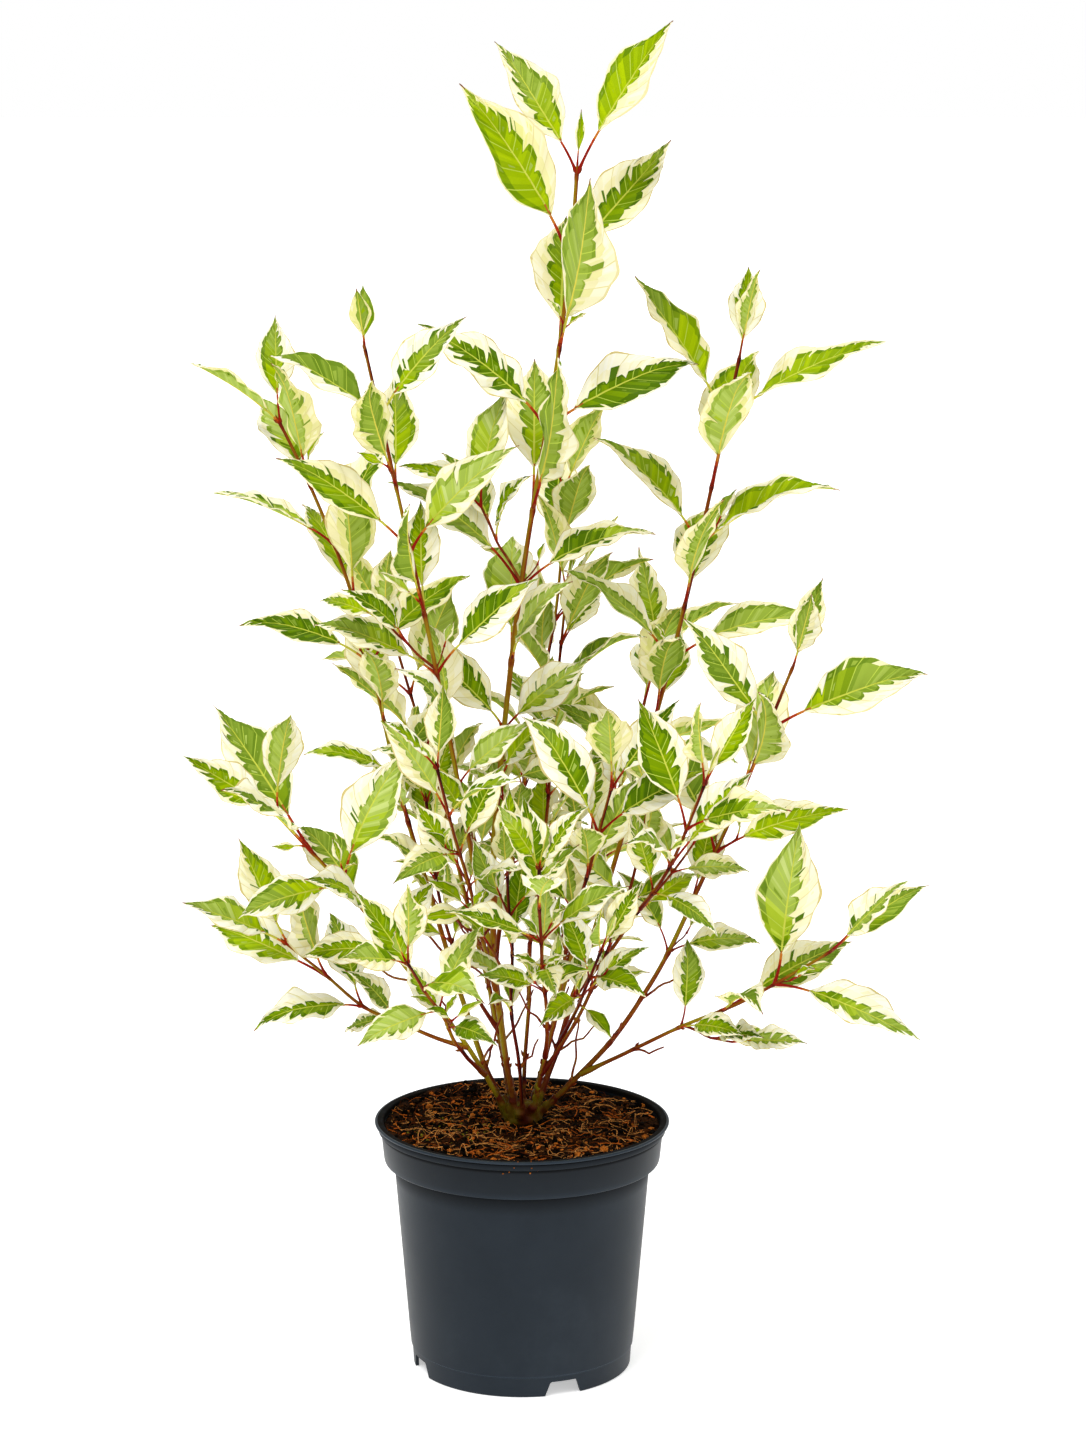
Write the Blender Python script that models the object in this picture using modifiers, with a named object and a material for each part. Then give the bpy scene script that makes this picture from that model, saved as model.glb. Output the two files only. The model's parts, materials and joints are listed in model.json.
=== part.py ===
"""A variegated red-barked dogwood with a clump of canes, standing in a round nursery pot.

Metres, +Z up. The origin is the centre of the pot's flat underside. Azimuths are in degrees
from +X towards +Y, and leans are in degrees from the vertical. The front is -Y.
"""

import math
import random

import bmesh
import bpy
from mathutils import Vector
from mathutils.bvhtree import BVHTree

UP = Vector((0.0, 0.0, 1.0))
GAP = 0.0003

# Pot: heights and outer radii, from the rim down
POT_HEIGHT = 0.163
RIM_RADIUS = 0.0952
LIP_HEIGHT = 0.0055
LIP_ROUND = 0.0012
COLLAR_TOP_RADIUS = 0.0913
COLLAR_FOOT_RADIUS = 0.0891
COLLAR_FOOT_HEIGHT = 0.1366
BODY_TOP_RADIUS = 0.0829
BODY_FOOT_RADIUS = 0.0725
SKIRT_TOP_RADIUS = 0.0716
SKIRT_FOOT_RADIUS = 0.0708
SKIRT_HEIGHT = 0.0135
SKIRT_WALL = 0.0024
WALL = 0.0018
PAD_RADIUS = 0.0480
CHANNEL_HEIGHT = 0.0085
POT_STEPS = 48

# Pot: notches in the skirt, and drain holes in the channel above them
NOTCH_FIRST_AZIMUTH = -68.0
NOTCH_COUNT = 4
NOTCH_HEIGHT = 0.0095
NOTCH_FOOT_WIDTH = 0.0245
NOTCH_TOP_WIDTH = 0.0175
DRAIN_COUNT = 4
DRAIN_RADIUS = 0.0045
DRAIN_RING = 0.0580
DRAIN_SIDES = 8

# Soil: level under the canes, sloping a little to the wall
SOIL_TOP = 0.1615
SOIL_EDGE = 0.1590
SOIL_FLAT_RADIUS = 0.0220
SOIL_STEPS = 32

# Crown: the swollen base that the canes grow from
CROWN_FOOT_RADIUS = 0.0135
CROWN_TOP_RADIUS = 0.0085
CROWN_HEIGHT = 0.0140
CROWN_SIDES = 12
STUB_LENGTH = 0.0260
STUB_FLARE = 1.35
STUB_SIDES = 8
FOOT_RISE = 0.0048

# Canes: foot (radius, azimuth) on the crown, or a fork (parent, distance along it); tip (reach,
# azimuth, height); leans at both ends; radii at both ends; the bare length, the pairs of leaves,
# the turn of the top pair or of each pair from the top, the leaf size (and the top pair's share of it),
# and how many masses share the leafy length
CANES = (
    dict(name="leader", foot=(0.004, 180), tip=(0.034, 0, 0.772), leans=(-12, 3),
         radii=(0.0023, 0.0012), bare=0.215, pairs=9, size=1.04, masses=3,
         turns=(0, 28, 98, 12, 100, 20, 95, 5, 100)),
    dict(name="far_left", foot=(0.010, 198), tip=(0.166, 161, 0.612), leans=(27, 30),
         radii=(0.0019, 0.0010), bare=0.200, pairs=8, turn=20, size=0.82, masses=2),
    dict(name="left_tall", foot=(0.010, 245), tip=(0.113, 212, 0.668), leans=(9, 14),
         radii=(0.0019, 0.0010), bare=0.195, pairs=9, turn=80, top=0.5, size=0.78, masses=2),
    dict(name="left_low", foot=(0.011, 222), tip=(0.176, 210, 0.385), leans=(30, 42),
         radii=(0.0018, 0.0010), bare=0.145, pairs=5, turn=6, size=0.84, masses=1),
    dict(name="left_lowest", fork=("left_low", 0.062), tip=(0.154, 189, 0.288), leans=(74, 46),
         radii=(0.0014, 0.0009), bare=0.042, pairs=4, turn=40, size=0.78, masses=1),
    dict(name="middle_thin", foot=(0.006, 85), tip=(0.085, 70, 0.500), leans=(6, 14),
         radii=(0.0014, 0.0009), bare=0.150, pairs=7, turn=30, size=0.68, masses=1),
    dict(name="middle_right", foot=(0.010, -50), tip=(0.097, -55, 0.400), leans=(18, 24),
         radii=(0.0016, 0.0009), bare=0.125, pairs=5, turn=60, size=0.76, masses=1),
    dict(name="right_tall", foot=(0.009, 20), tip=(0.144, 16, 0.655), leans=(20, 12),
         radii=(0.0020, 0.0011), bare=0.205, pairs=9, turn=85, top=0.62, size=0.88, masses=2),
    dict(name="right", foot=(0.010, -8), tip=(0.173, -10, 0.468), leans=(48, 22),
         radii=(0.0019, 0.0010), bare=0.140, pairs=6, turn=90, top=0.58, size=0.86, masses=1),
    dict(name="right_low", fork=("right", 0.048), tip=(0.212, -24, 0.298), leans=(60, 54),
         radii=(0.0014, 0.0009), bare=0.070, pairs=4, turn=70, size=0.86, masses=1),
    dict(name="back_tall", fork=("leader", 0.105), tip=(0.135, 78, 0.560), leans=(36, 6),
         radii=(0.0015, 0.0009), bare=0.080, pairs=7, turn=20, size=0.74, masses=1),
    dict(name="back_left", foot=(0.010, 128), tip=(0.165, 122, 0.460), leans=(20, 32),
         radii=(0.0016, 0.0009), bare=0.140, pairs=6, turn=50, size=0.74, masses=1),
    dict(name="back_right", foot=(0.010, 52), tip=(0.175, 58, 0.450), leans=(26, 28),
         radii=(0.0016, 0.0009), bare=0.140, pairs=6, turn=5, size=0.74, masses=1),
    dict(name="back_low_left", fork=("back_left", 0.060), tip=(0.175, 102, 0.335), leans=(56, 50),
         radii=(0.0014, 0.0009), bare=0.055, pairs=4, turn=30, size=0.72, masses=1),
    dict(name="back_low_right", fork=("back_right", 0.058), tip=(0.175, 74, 0.318), leans=(58, 52),
         radii=(0.0014, 0.0009), bare=0.055, pairs=4, turn=60, size=0.72, masses=1),
    dict(name="front_left", fork=("left_tall", 0.095), tip=(0.150, -110, 0.425), leans=(30, 30),
         radii=(0.0014, 0.0009), bare=0.060, pairs=5, turn=45, size=0.66, masses=1),
    dict(name="front_middle", fork=("middle_right", 0.050), tip=(0.150, -86, 0.365), leans=(44, 34),
         radii=(0.0014, 0.0009), bare=0.070, pairs=5, turn=10, size=0.64, masses=1),
    dict(name="front_right", fork=("right_tall", 0.085), tip=(0.160, -46, 0.410), leans=(42, 24),
         radii=(0.0014, 0.0009), bare=0.090, pairs=5, turn=55, size=0.68, masses=1),
    dict(name="front_low", fork=("left_low", 0.040), tip=(0.160, -116, 0.305), leans=(56, 48),
         radii=(0.0014, 0.0009), bare=0.075, pairs=4, turn=20, size=0.66, masses=1),
    dict(name="inner_front", foot=(0.0115, -88), tip=(0.075, -97, 0.345), leans=(24, 10),
         radii=(0.0013, 0.0009), bare=0.085, pairs=5, turn=75, size=0.52, masses=1),
    dict(name="inner_left", fork=("leader", 0.060), tip=(0.062, 172, 0.375), leans=(36, 4),
         radii=(0.0013, 0.0009), bare=0.060, pairs=5, turn=35, size=0.54, masses=1),
    dict(name="inner_right", fork=("middle_right", 0.040), tip=(0.088, -24, 0.385), leans=(34, 10),
         radii=(0.0013, 0.0009), bare=0.060, pairs=5, turn=15, size=0.54, masses=1),
    dict(name="inner_low", fork=("right_tall", 0.050), tip=(0.105, -62, 0.300), leans=(40, 34),
         radii=(0.0013, 0.0009), bare=0.050, pairs=4, turn=50, size=0.52, masses=1),
)
HANDLE = 0.36
PATH_STEPS = 60
WANDER = 0.0022
SEED = 41

# Leaves: sizes of a full-grown one, and how it stands on its cane
BLADE_LENGTH = 0.094
BLADE_WIDTH = 0.0445
PETIOLE_LENGTH = 0.022
PETIOLE_RADIUS = 0.0008
LEAF_THICKNESS = 0.0013
SIZE_ALONG = ((0.0, 0.60), (0.35, 0.84), (0.7, 1.0), (1.0, 1.0))
SPREAD_ALONG = ((0.0, 68.0), (0.6, 60.0), (0.88, 56.0), (1.0, 36.0))
ERECT = 0.42
NODE_STRETCH = 1.12
TWIGS_BELOW = 0.55
TIP_BUD = 0.006
PAIR = ((0.0, 0.0), (180.0, 0.0007))
LIFT = 0.24
DROOP_ALONG = ((0.0, 0.62), (0.6, 0.40), (1.0, 0.22))
DROOP_SWING = 0.18
FOLD = (9.0, 22.0)
ROLL = 16.0
FACE_FRONT = 0.85
FACE_TURN = 0.11
TRIES = 16
CLEARANCE = 0.0013
LOWEST_LEAF = 0.204
FRONT_RISE = 0.29
STATIONS = (0.30, 0.66)

# Side twigs: small shoots from some of the lower nodes
TWIG_CHANCE = 0.75
TWIG_LENGTH = (0.035, 0.060)
TWIG_RADIUS = 0.0010
TWIG_LEAN = (38.0, 58.0)
TWIG_LEAF_SIZE = 0.60
TWIG_DROOP = 0.6
TWIG_STEPS = 3


def between(table, at):
    """The value at this share along a table of (share, value), read in straight lines."""
    for (low, a), (high, b) in zip(table, table[1:]):
        if at <= high:
            return a + (b - a) * (at - low) / (high - low)
    return table[-1][1]


def polar(radius, azimuth, height):
    turn = math.radians(azimuth)
    return Vector((radius * math.cos(turn), radius * math.sin(turn), height))


def leaning(lean, azimuth):
    """The unit direction that leans this far from the vertical towards an azimuth."""
    return polar(math.sin(math.radians(lean)), azimuth, math.cos(math.radians(lean)))


class Path:
    """A smooth line in space that knows its length, its direction and a frame without twist."""

    def __init__(self, points):
        self.points = points
        self.marks = [0.0]
        for a, b in zip(points, points[1:]):
            self.marks.append(self.marks[-1] + (b - a).length)
        self.length = self.marks[-1]
        steps = [(b - a).normalized() for a, b in zip(points, points[1:])]
        self.tangents = [steps[0]] + [(a + b).normalized() for a, b in zip(steps, steps[1:])] + [steps[-1]]
        side = Vector((0.0, 1.0, 0.0)).cross(self.tangents[0]).normalized()
        self.sides = [side]
        for a, b in zip(self.tangents, self.tangents[1:]):
            side = a.rotation_difference(b) @ side
            side = (side - b * side.dot(b)).normalized()
            self.sides.append(side)

    def at(self, distance):
        """(point, tangent, side) at a distance along the line."""
        last = len(self.points) - 2
        i = next((k for k in range(last) if self.marks[k + 1] >= distance), last)
        share = (distance - self.marks[i]) / (self.marks[i + 1] - self.marks[i])
        point = self.points[i].lerp(self.points[i + 1], share)
        tangent = self.tangents[i].lerp(self.tangents[i + 1], share).normalized()
        side = self.sides[i].lerp(self.sides[i + 1], share)
        return point, tangent, (side - tangent * side.dot(tangent)).normalized()


def bezier_points(start, start_way, end, end_way, wander, rng):
    """A cubic curve between two points that also wanders a little off its way."""
    handle = HANDLE * (end - start).length
    first = start + start_way * handle
    second = end - end_way * handle
    across = start_way.cross(polar(1.0, rng.uniform(0, 360), 0.3)).normalized()
    phase = rng.uniform(0, math.tau)
    points = []
    for i in range(PATH_STEPS + 1):
        t = i / PATH_STEPS
        u = 1.0 - t
        point = start * u**3 + first * (3 * u * u * t) + second * (3 * u * t * t) + end * t**3
        swing = wander * math.sin(math.pi * t) ** 2 * math.sin(3.0 * math.pi * t + phase)
        points.append(point + across * swing)
    return points


def radius_at(cane, distance):
    base, tip = cane["radii"]
    return base + (tip - base) * (distance / cane["path"].length) ** 0.85


def lay_canes():
    """Each cane with its path, in the order of the list, so that a parent comes before its forks."""
    canes = {}
    for index, row in enumerate(CANES):
        cane = dict(row, index=index)
        rng = random.Random(SEED + index)
        reach, azimuth, height = cane["tip"]
        start_way = leaning(cane["leans"][0], azimuth)
        if "fork" in cane:
            parent = canes[cane["fork"][0]]
            point, tangent, _ = parent["path"].at(cane["fork"][1])
            off = (start_way - tangent * start_way.dot(tangent)).normalized()
            slope = abs(start_way.dot(tangent))
            out = radius_at(parent, cane["fork"][1]) + GAP + cane["radii"][0] * slope
            start = point + off * out
        else:
            start = polar(*cane["foot"], SOIL_TOP + FOOT_RISE)
        end = polar(reach, azimuth, height)
        end_way = leaning(cane["leans"][1], azimuth)
        cane["path"] = Path(bezier_points(start, start_way, end, end_way, WANDER, rng))
        canes[cane["name"]] = cane
    return canes


def blade_half_width(along):
    """The blade's half width as a share of its greatest, which lies at 0.426 of its length."""
    return along * ((1.0 - along) ** 1.35) / 0.2013


def frontness(y):
    """1 in the front half and down to -1 at the back, so that leaves turn their faces outwards."""
    return max(-1.0, min(1.0, 1.0 - 2.0 * y / FACE_TURN))


class Leaf:
    """One leaf on its stalk: where its root is, how it points, and how large it is."""

    def __init__(self, root, tangent, outward, stem_radius, size, spread, droop, fold, roll, stalk):
        self.root = root
        self.size = size
        self.length = BLADE_LENGTH * size
        self.half_width = BLADE_WIDTH * size / 2
        self.droop = droop
        self.fold = math.radians(fold)
        opening = math.radians(spread * (1.0 - ERECT * outward.y**2))
        way = tangent * math.cos(opening) + outward * math.sin(opening)
        self.way = (way + UP * LIFT).normalized()
        stalk_way = (self.way + tangent * 0.45).normalized()
        self.skin = root + stalk_way * stem_radius
        self.base = self.skin + stalk_way * (stalk * 0.5) + self.way * (stalk * 0.5)
        facing = UP - Vector((0.0, 1.0, 0.0)) * FACE_FRONT * frontness(root.y)
        up = facing - self.way * facing.dot(self.way)
        up = up.normalized() if up.z > 0.0 else -up.normalized()
        across = self.way.cross(up)
        turn = math.radians(roll)
        self.up = up * math.cos(turn) + across * math.sin(turn)
        self.across = self.way.cross(self.up)

    def spine(self, along):
        """(centre, upward normal) of the blade at this share of its length."""
        bend = max(self.droop, 1e-3)
        angle = bend * along
        forward = self.length * math.sin(angle) / bend
        down = self.length * (1.0 - math.cos(angle)) / bend
        centre = self.base + self.way * forward - self.up * down
        return centre, self.up * math.cos(angle) + self.way * math.sin(angle)

    def section(self, along, grow):
        """(left, bottom, right) of the blade's three-sided section."""
        centre, normal = self.spine(along)
        half = self.half_width * blade_half_width(along) + grow
        flat = self.across * (half * math.cos(self.fold))
        rise = normal * (half * math.sin(self.fold))
        deep = normal * (LEAF_THICKNESS + grow)
        return [centre - flat + rise, centre - deep, centre + flat + rise]

    def stalk_section(self, centre, grow):
        reach = PETIOLE_RADIUS + grow
        flat = self.across * reach
        rise = self.up * (reach / 2)
        return [centre - flat + rise, centre - self.up * reach, centre + flat + rise]

    def rings(self, grow=0.0, from_skin=False):
        """Sections from the root to the last station; with from_skin, from clear of the stem."""
        start = self.skin.lerp(self.base, 0.35) if from_skin else self.root
        rings = [self.stalk_section(start, grow), self.stalk_section(self.base, grow)]
        rings += [self.section(along, grow) for along in STATIONS]
        return rings

    def tip(self):
        return self.spine(1.0)[0]


def ring_mesh(rings, tip=None):
    """(vertices, faces) of a closed body through rings of as many points, ending at a point or a cap."""
    points = [p for ring in rings for p in ring]
    sides = len(rings[0])
    faces = [tuple(range(sides))]
    for i in range(len(rings) - 1):
        for k in range(sides):
            a, b = i * sides + k, i * sides + (k + 1) % sides
            faces.append((b, a, a + sides, b + sides))
    last = (len(rings) - 1) * sides
    if tip is None:
        faces.append(tuple(range(last + sides - 1, last - 1, -1)))
    else:
        points.append(tip)
        end = len(points) - 1
        faces += [(last + (k + 1) % sides, last + k, end) for k in range(sides)]
    return points, faces


def tube_rings(path, start, end, radius_of, sides, spacing):
    """Round sections along a path between two distances, no further apart than the spacing."""
    count = max(1, math.ceil((end - start) / spacing))
    rings = []
    for i in range(count + 1):
        distance = start + (end - start) * i / count
        point, tangent, side = path.at(distance)
        other = tangent.cross(side)
        radius = radius_of(distance)
        ring = []
        for k in range(sides):
            turn = -math.tau * k / sides
            ring.append(point + (side * math.cos(turn) + other * math.sin(turn)) * radius)
        rings.append(ring)
    return rings


class Space:
    """What stands in the crown already, kept as small trees of triangles with bounding spheres."""

    def __init__(self):
        self.things = []

    def sphere(self, points):
        centre = sum(points, Vector()) / len(points)
        return centre, max((p - centre).length for p in points)

    def add(self, owner, points, faces):
        self.things.append((owner, *self.sphere(points), BVHTree.FromPolygons(points, faces)))

    def is_free(self, owners, points, faces):
        """Whether this mesh touches nothing except what belongs to these owners."""
        centre, radius = self.sphere(points)
        tree = None
        for owner, other, reach, branches in self.things:
            if owner in owners or (other - centre).length > radius + reach:
                continue
            tree = tree or BVHTree.FromPolygons(points, faces)
            if tree.overlap(branches):
                return False
        return True


def above_floor(points):
    """Leaves stay off the soil, and those at the front stand a little higher."""
    return all(p.z > LOWEST_LEAF + FRONT_RISE * max(0.0, -p.y) for p in points)


def try_leaf(space, owner, node, azimuth, size, spread, droop, stem_radius, rng):
    """A leaf at a node, turned and tilted a little further at each try, or None if it never fits."""
    point, tangent, side = node
    other = tangent.cross(side)
    droop = max(0.05, droop + rng.uniform(-DROOP_SWING, DROOP_SWING))
    fold = rng.uniform(*FOLD)
    roll = rng.uniform(-ROLL, ROLL)
    stalk = PETIOLE_LENGTH * size * rng.uniform(0.75, 1.5)
    tilt = rng.uniform(-7.0, 7.0)
    for attempt in range(TRIES):
        reach = attempt * 0.9
        turn = math.radians(azimuth + rng.uniform(-6, 6) * (1 + reach))
        outward = side * math.cos(turn) + other * math.sin(turn)
        opening = spread + tilt + rng.uniform(-3, 3) * reach
        rolled = roll + rng.uniform(-4, 4) * reach
        grown = size * (1.0 - 0.018 * attempt)
        leaf = Leaf(point, tangent, outward, stem_radius, grown, opening, droop, fold, rolled, stalk)
        points, faces = ring_mesh(leaf.rings(CLEARANCE, from_skin=True), leaf.tip())
        if above_floor(points) and space.is_free((owner,), points, faces):
            space.add((owner, "leaf"), points, faces)
            return leaf
    return None


def grow_twig(space, cane, node, azimuth, rng):
    """A short side shoot with a pair of small leaves on it and a pair at its tip."""
    point, tangent, side = node
    other = tangent.cross(side)
    turn = math.radians(azimuth)
    outward = side * math.cos(turn) + other * math.sin(turn)
    lean = math.radians(rng.uniform(*TWIG_LEAN))
    way = (tangent * math.cos(lean) + outward * math.sin(lean) + UP * 0.2).normalized()
    length = rng.uniform(*TWIG_LENGTH)
    end = point + way * length + UP * length * 0.12
    end_way = (way + UP * 0.35).normalized()
    path = Path(bezier_points(point, way, end, end_way, WANDER * 0.3, rng))
    name = (cane["name"], "twig", round(azimuth), round(point.z, 4))
    clear = tube_rings(path, 0.008, path.length, lambda d: TWIG_RADIUS + CLEARANCE, 3, 0.02)
    points, faces = ring_mesh(clear)
    if not (above_floor(points) and space.is_free((cane["name"],), points, faces)):
        return None
    space.add(name, points, faces)
    leaves = []
    for share, turn_of_pair in ((0.55, 90.0), (0.96, 0.0)):
        for half, shift in PAIR:
            at = path.at(path.length * share + shift)
            size = cane["size"] * TWIG_LEAF_SIZE * rng.uniform(0.8, 1.15)
            spread = 62.0 if share < 0.9 else 40.0
            turned_by = azimuth + turn_of_pair + half
            leaf = try_leaf(space, name, at, turned_by, size, spread, TWIG_DROOP, TWIG_RADIUS, rng)
            if leaf:
                leaves.append(leaf)
    return dict(path=path, leaves=leaves)


def node_distances(cane):
    """How far along the cane each pair of leaves stands, a little further apart towards the tip."""
    leafy = cane["path"].length - TIP_BUD - cane["bare"]
    last = cane["pairs"] - 1
    return [cane["bare"] + leafy * (k / last) ** NODE_STRETCH for k in range(cane["pairs"])]


def grow_masses(canes):
    """The leafy length of each cane, shared out into masses that each hold their own pairs."""
    space = Space()
    for cane in canes.values():
        radius_of = lambda d, cane=cane: radius_at(cane, d) + CLEARANCE
        rings = tube_rings(cane["path"], 0.0, cane["path"].length, radius_of, 5, 0.02)
        space.add(cane["name"], *ring_mesh(rings))
    masses = []
    for cane in canes.values():
        rng = random.Random(1000 + SEED * 7 + cane["index"])
        stops = node_distances(cane)
        share = len(stops) / cane["masses"]
        first = cane["bare"] - 0.012
        for number in range(cane["masses"]):
            own = range(round(number * share), round((number + 1) * share))
            last_mass = number == cane["masses"] - 1
            end = cane["path"].length if last_mass else (stops[own[-1]] + stops[own[-1] + 1]) / 2
            name = cane["name"] + ("_foliage" if cane["masses"] == 1 else f"_foliage_{number + 1}")
            masses.append(dict(name=name, cane=cane, start=first, end=end, nodes=own, leaves=[], twigs=[]))
            first = end
    for mass in reversed(masses):
        grow_mass(space, mass)
    return masses


def grow_mass(space, mass):
    """Decussate pairs of leaves from the top of the mass down, and side twigs from its lower nodes."""
    cane = mass["cane"]
    path = cane["path"]
    stops = node_distances(cane)
    for k in reversed(mass["nodes"]):
        rng = random.Random(SEED * 31 + cane["index"] * 97 + k)
        share = k / (cane["pairs"] - 1)
        from_top = cane["pairs"] - 1 - k
        azimuth = cane["turns"][from_top] if "turns" in cane else cane["turn"] + 90.0 * from_top
        stem = radius_at(cane, stops[k])
        for half, shift in PAIR:
            node = path.at(stops[k] + shift)
            grown = cane.get("top", 0.8) if from_top == 0 else between(SIZE_ALONG, share)
            size = cane["size"] * grown * rng.uniform(0.88, 1.10)
            spread = between(SPREAD_ALONG, share) + rng.uniform(-6, 6)
            droop = between(DROOP_ALONG, share)
            leaf = try_leaf(space, cane["name"], node, azimuth + half, size, spread, droop, stem, rng)
            if leaf:
                mass["leaves"].append(leaf)
        if share < TWIGS_BELOW and rng.random() < TWIG_CHANCE:
            above = path.at(stops[k] + 0.004)
            twig = grow_twig(space, cane, above, azimuth + rng.choice((0.0, 180.0)) + 8.0, rng)
            if twig:
                mass["twigs"].append(twig)


def clear_scene():
    for obj in list(bpy.data.objects):
        bpy.data.objects.remove(obj)


def new_collection(name):
    collection = bpy.data.collections.new(name)
    bpy.context.scene.collection.children.link(collection)
    return collection


def material(name, color, roughness):
    made = bpy.data.materials.new(name)
    made.use_nodes = True
    shader = made.node_tree.nodes["Principled BSDF"]
    shader.inputs["Base Color"].default_value = (*color, 1.0)
    shader.inputs["Roughness"].default_value = roughness
    shader.inputs["Metallic"].default_value = 0.0
    made.diffuse_color = (*color, 1.0)
    return made


def mesh_object(name, points, faces, collection):
    mesh = bpy.data.meshes.new(name)
    mesh.from_pydata(points, [], faces)
    mesh.update()
    obj = bpy.data.objects.new(name, mesh)
    collection.objects.link(obj)
    return obj


def turned(name, profile, steps, collection):
    """A body of revolution from an (r, z) profile that runs down its outer side."""
    points = [(r, 0.0, z) for r, z in profile]
    obj = mesh_object(name, points, [], collection)
    obj.data.edges.add(len(points) - 1)
    for i, edge in enumerate(obj.data.edges):
        edge.vertices = (i, i + 1)
    screw = obj.modifiers.new("turn", "SCREW")
    screw.steps = steps
    screw.render_steps = steps
    screw.use_merge_vertices = True
    screw.merge_threshold = 1e-5
    screw.use_smooth_shade = True
    return obj


def apply_modifiers(obj):
    """The object's evaluated mesh put in place of its own, with the modifiers gone."""
    graph = bpy.context.evaluated_depsgraph_get()
    solid = bpy.data.meshes.new_from_object(obj.evaluated_get(graph))
    old = obj.data
    obj.modifiers.clear()
    obj.data = solid
    bpy.data.meshes.remove(old)


def fuse(obj, pieces):
    """One union of the object with every object of a collection, which is then emptied."""
    join = obj.modifiers.new("fuse", "BOOLEAN")
    join.operation = "UNION"
    join.solver = "EXACT"
    join.operand_type = "COLLECTION"
    join.collection = pieces
    apply_modifiers(obj)
    for piece in list(pieces.objects):
        bpy.data.objects.remove(piece)
    bpy.data.collections.remove(pieces)


def finish(obj, look):
    obj.data.materials.clear()
    obj.data.materials.append(look)
    if obj.type == "MESH":
        obj.data.shade_smooth()
        obj.data.set_sharp_from_angle(angle=math.radians(35))
    return obj


def pot_profile():
    """From the centre of the floor out, up the inside, over the lip and down to the underside."""
    floor = WALL
    channel = CHANNEL_HEIGHT + WALL
    lip_foot = POT_HEIGHT - LIP_HEIGHT
    inner_rim = COLLAR_TOP_RADIUS - WALL
    return [
        (0.0, floor),
        (PAD_RADIUS - WALL, floor),
        (PAD_RADIUS - WALL / 2, channel),
        (SKIRT_TOP_RADIUS - WALL, channel),
        (BODY_FOOT_RADIUS - WALL, SKIRT_HEIGHT + WALL),
        (BODY_TOP_RADIUS - WALL, COLLAR_FOOT_HEIGHT + WALL),
        (COLLAR_FOOT_RADIUS - WALL, COLLAR_FOOT_HEIGHT + 2 * WALL),
        (inner_rim, POT_HEIGHT - LIP_ROUND),
        (inner_rim + LIP_ROUND, POT_HEIGHT),
        (RIM_RADIUS - LIP_ROUND, POT_HEIGHT),
        (RIM_RADIUS, POT_HEIGHT - LIP_ROUND),
        (RIM_RADIUS, lip_foot + LIP_ROUND / 2),
        (RIM_RADIUS - LIP_ROUND, lip_foot),
        (COLLAR_TOP_RADIUS, lip_foot - LIP_ROUND / 2),
        (COLLAR_FOOT_RADIUS, COLLAR_FOOT_HEIGHT),
        (BODY_TOP_RADIUS, COLLAR_FOOT_HEIGHT - WALL / 2),
        (BODY_FOOT_RADIUS, SKIRT_HEIGHT + WALL / 4),
        (SKIRT_TOP_RADIUS, SKIRT_HEIGHT - WALL / 4),
        (SKIRT_FOOT_RADIUS, 0.0),
        (SKIRT_FOOT_RADIUS - SKIRT_WALL, 0.0),
        (SKIRT_TOP_RADIUS - SKIRT_WALL, CHANNEL_HEIGHT),
        (PAD_RADIUS + WALL / 2, CHANNEL_HEIGHT),
        (PAD_RADIUS, 0.0),
        (0.0, 0.0),
    ]


def make_pot(collection, cutters):
    pot = turned("pot", pot_profile(), POT_STEPS, collection)
    low, high = -0.004, NOTCH_HEIGHT
    slope = (NOTCH_FOOT_WIDTH - NOTCH_TOP_WIDTH) / 2 / NOTCH_HEIGHT
    near, far = SKIRT_FOOT_RADIUS - 2 * SKIRT_WALL, RIM_RADIUS
    for i in range(NOTCH_COUNT):
        halves = ((NOTCH_FOOT_WIDTH / 2 - slope * low, low), (NOTCH_TOP_WIDTH / 2, high))
        outline = [(-halves[0][0], low), (halves[0][0], low), (halves[1][0], high), (-halves[1][0], high)]
        rings = [[Vector((x, y, z)) for y, z in reversed(outline)] for x in (near, far)]
        notch = mesh_object(f"notch_cutter_{i + 1}", *ring_mesh(rings), cutters)
        notch.rotation_euler.z = math.radians(NOTCH_FIRST_AZIMUTH + i * 360.0 / NOTCH_COUNT)
    for i in range(DRAIN_COUNT):
        spot = polar(DRAIN_RING, NOTCH_FIRST_AZIMUTH + (i + 0.5) * 360.0 / DRAIN_COUNT, CHANNEL_HEIGHT)
        shape = bmesh.new()
        bmesh.ops.create_cone(shape, cap_ends=True, segments=DRAIN_SIDES, radius1=DRAIN_RADIUS,
                              radius2=DRAIN_RADIUS, depth=4 * WALL)
        mesh = bpy.data.meshes.new(f"drain_cutter_{i + 1}")
        shape.to_mesh(mesh)
        shape.free()
        drain = bpy.data.objects.new(mesh.name, mesh)
        drain.location = spot
        cutters.objects.link(drain)
    for cutter in cutters.objects:
        cutter.hide_render = True
        cutter.display_type = "WIRE"
    cut = pot.modifiers.new("notches and drains", "BOOLEAN")
    cut.operation = "DIFFERENCE"
    cut.operand_type = "COLLECTION"
    cut.collection = cutters
    return pot


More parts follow.
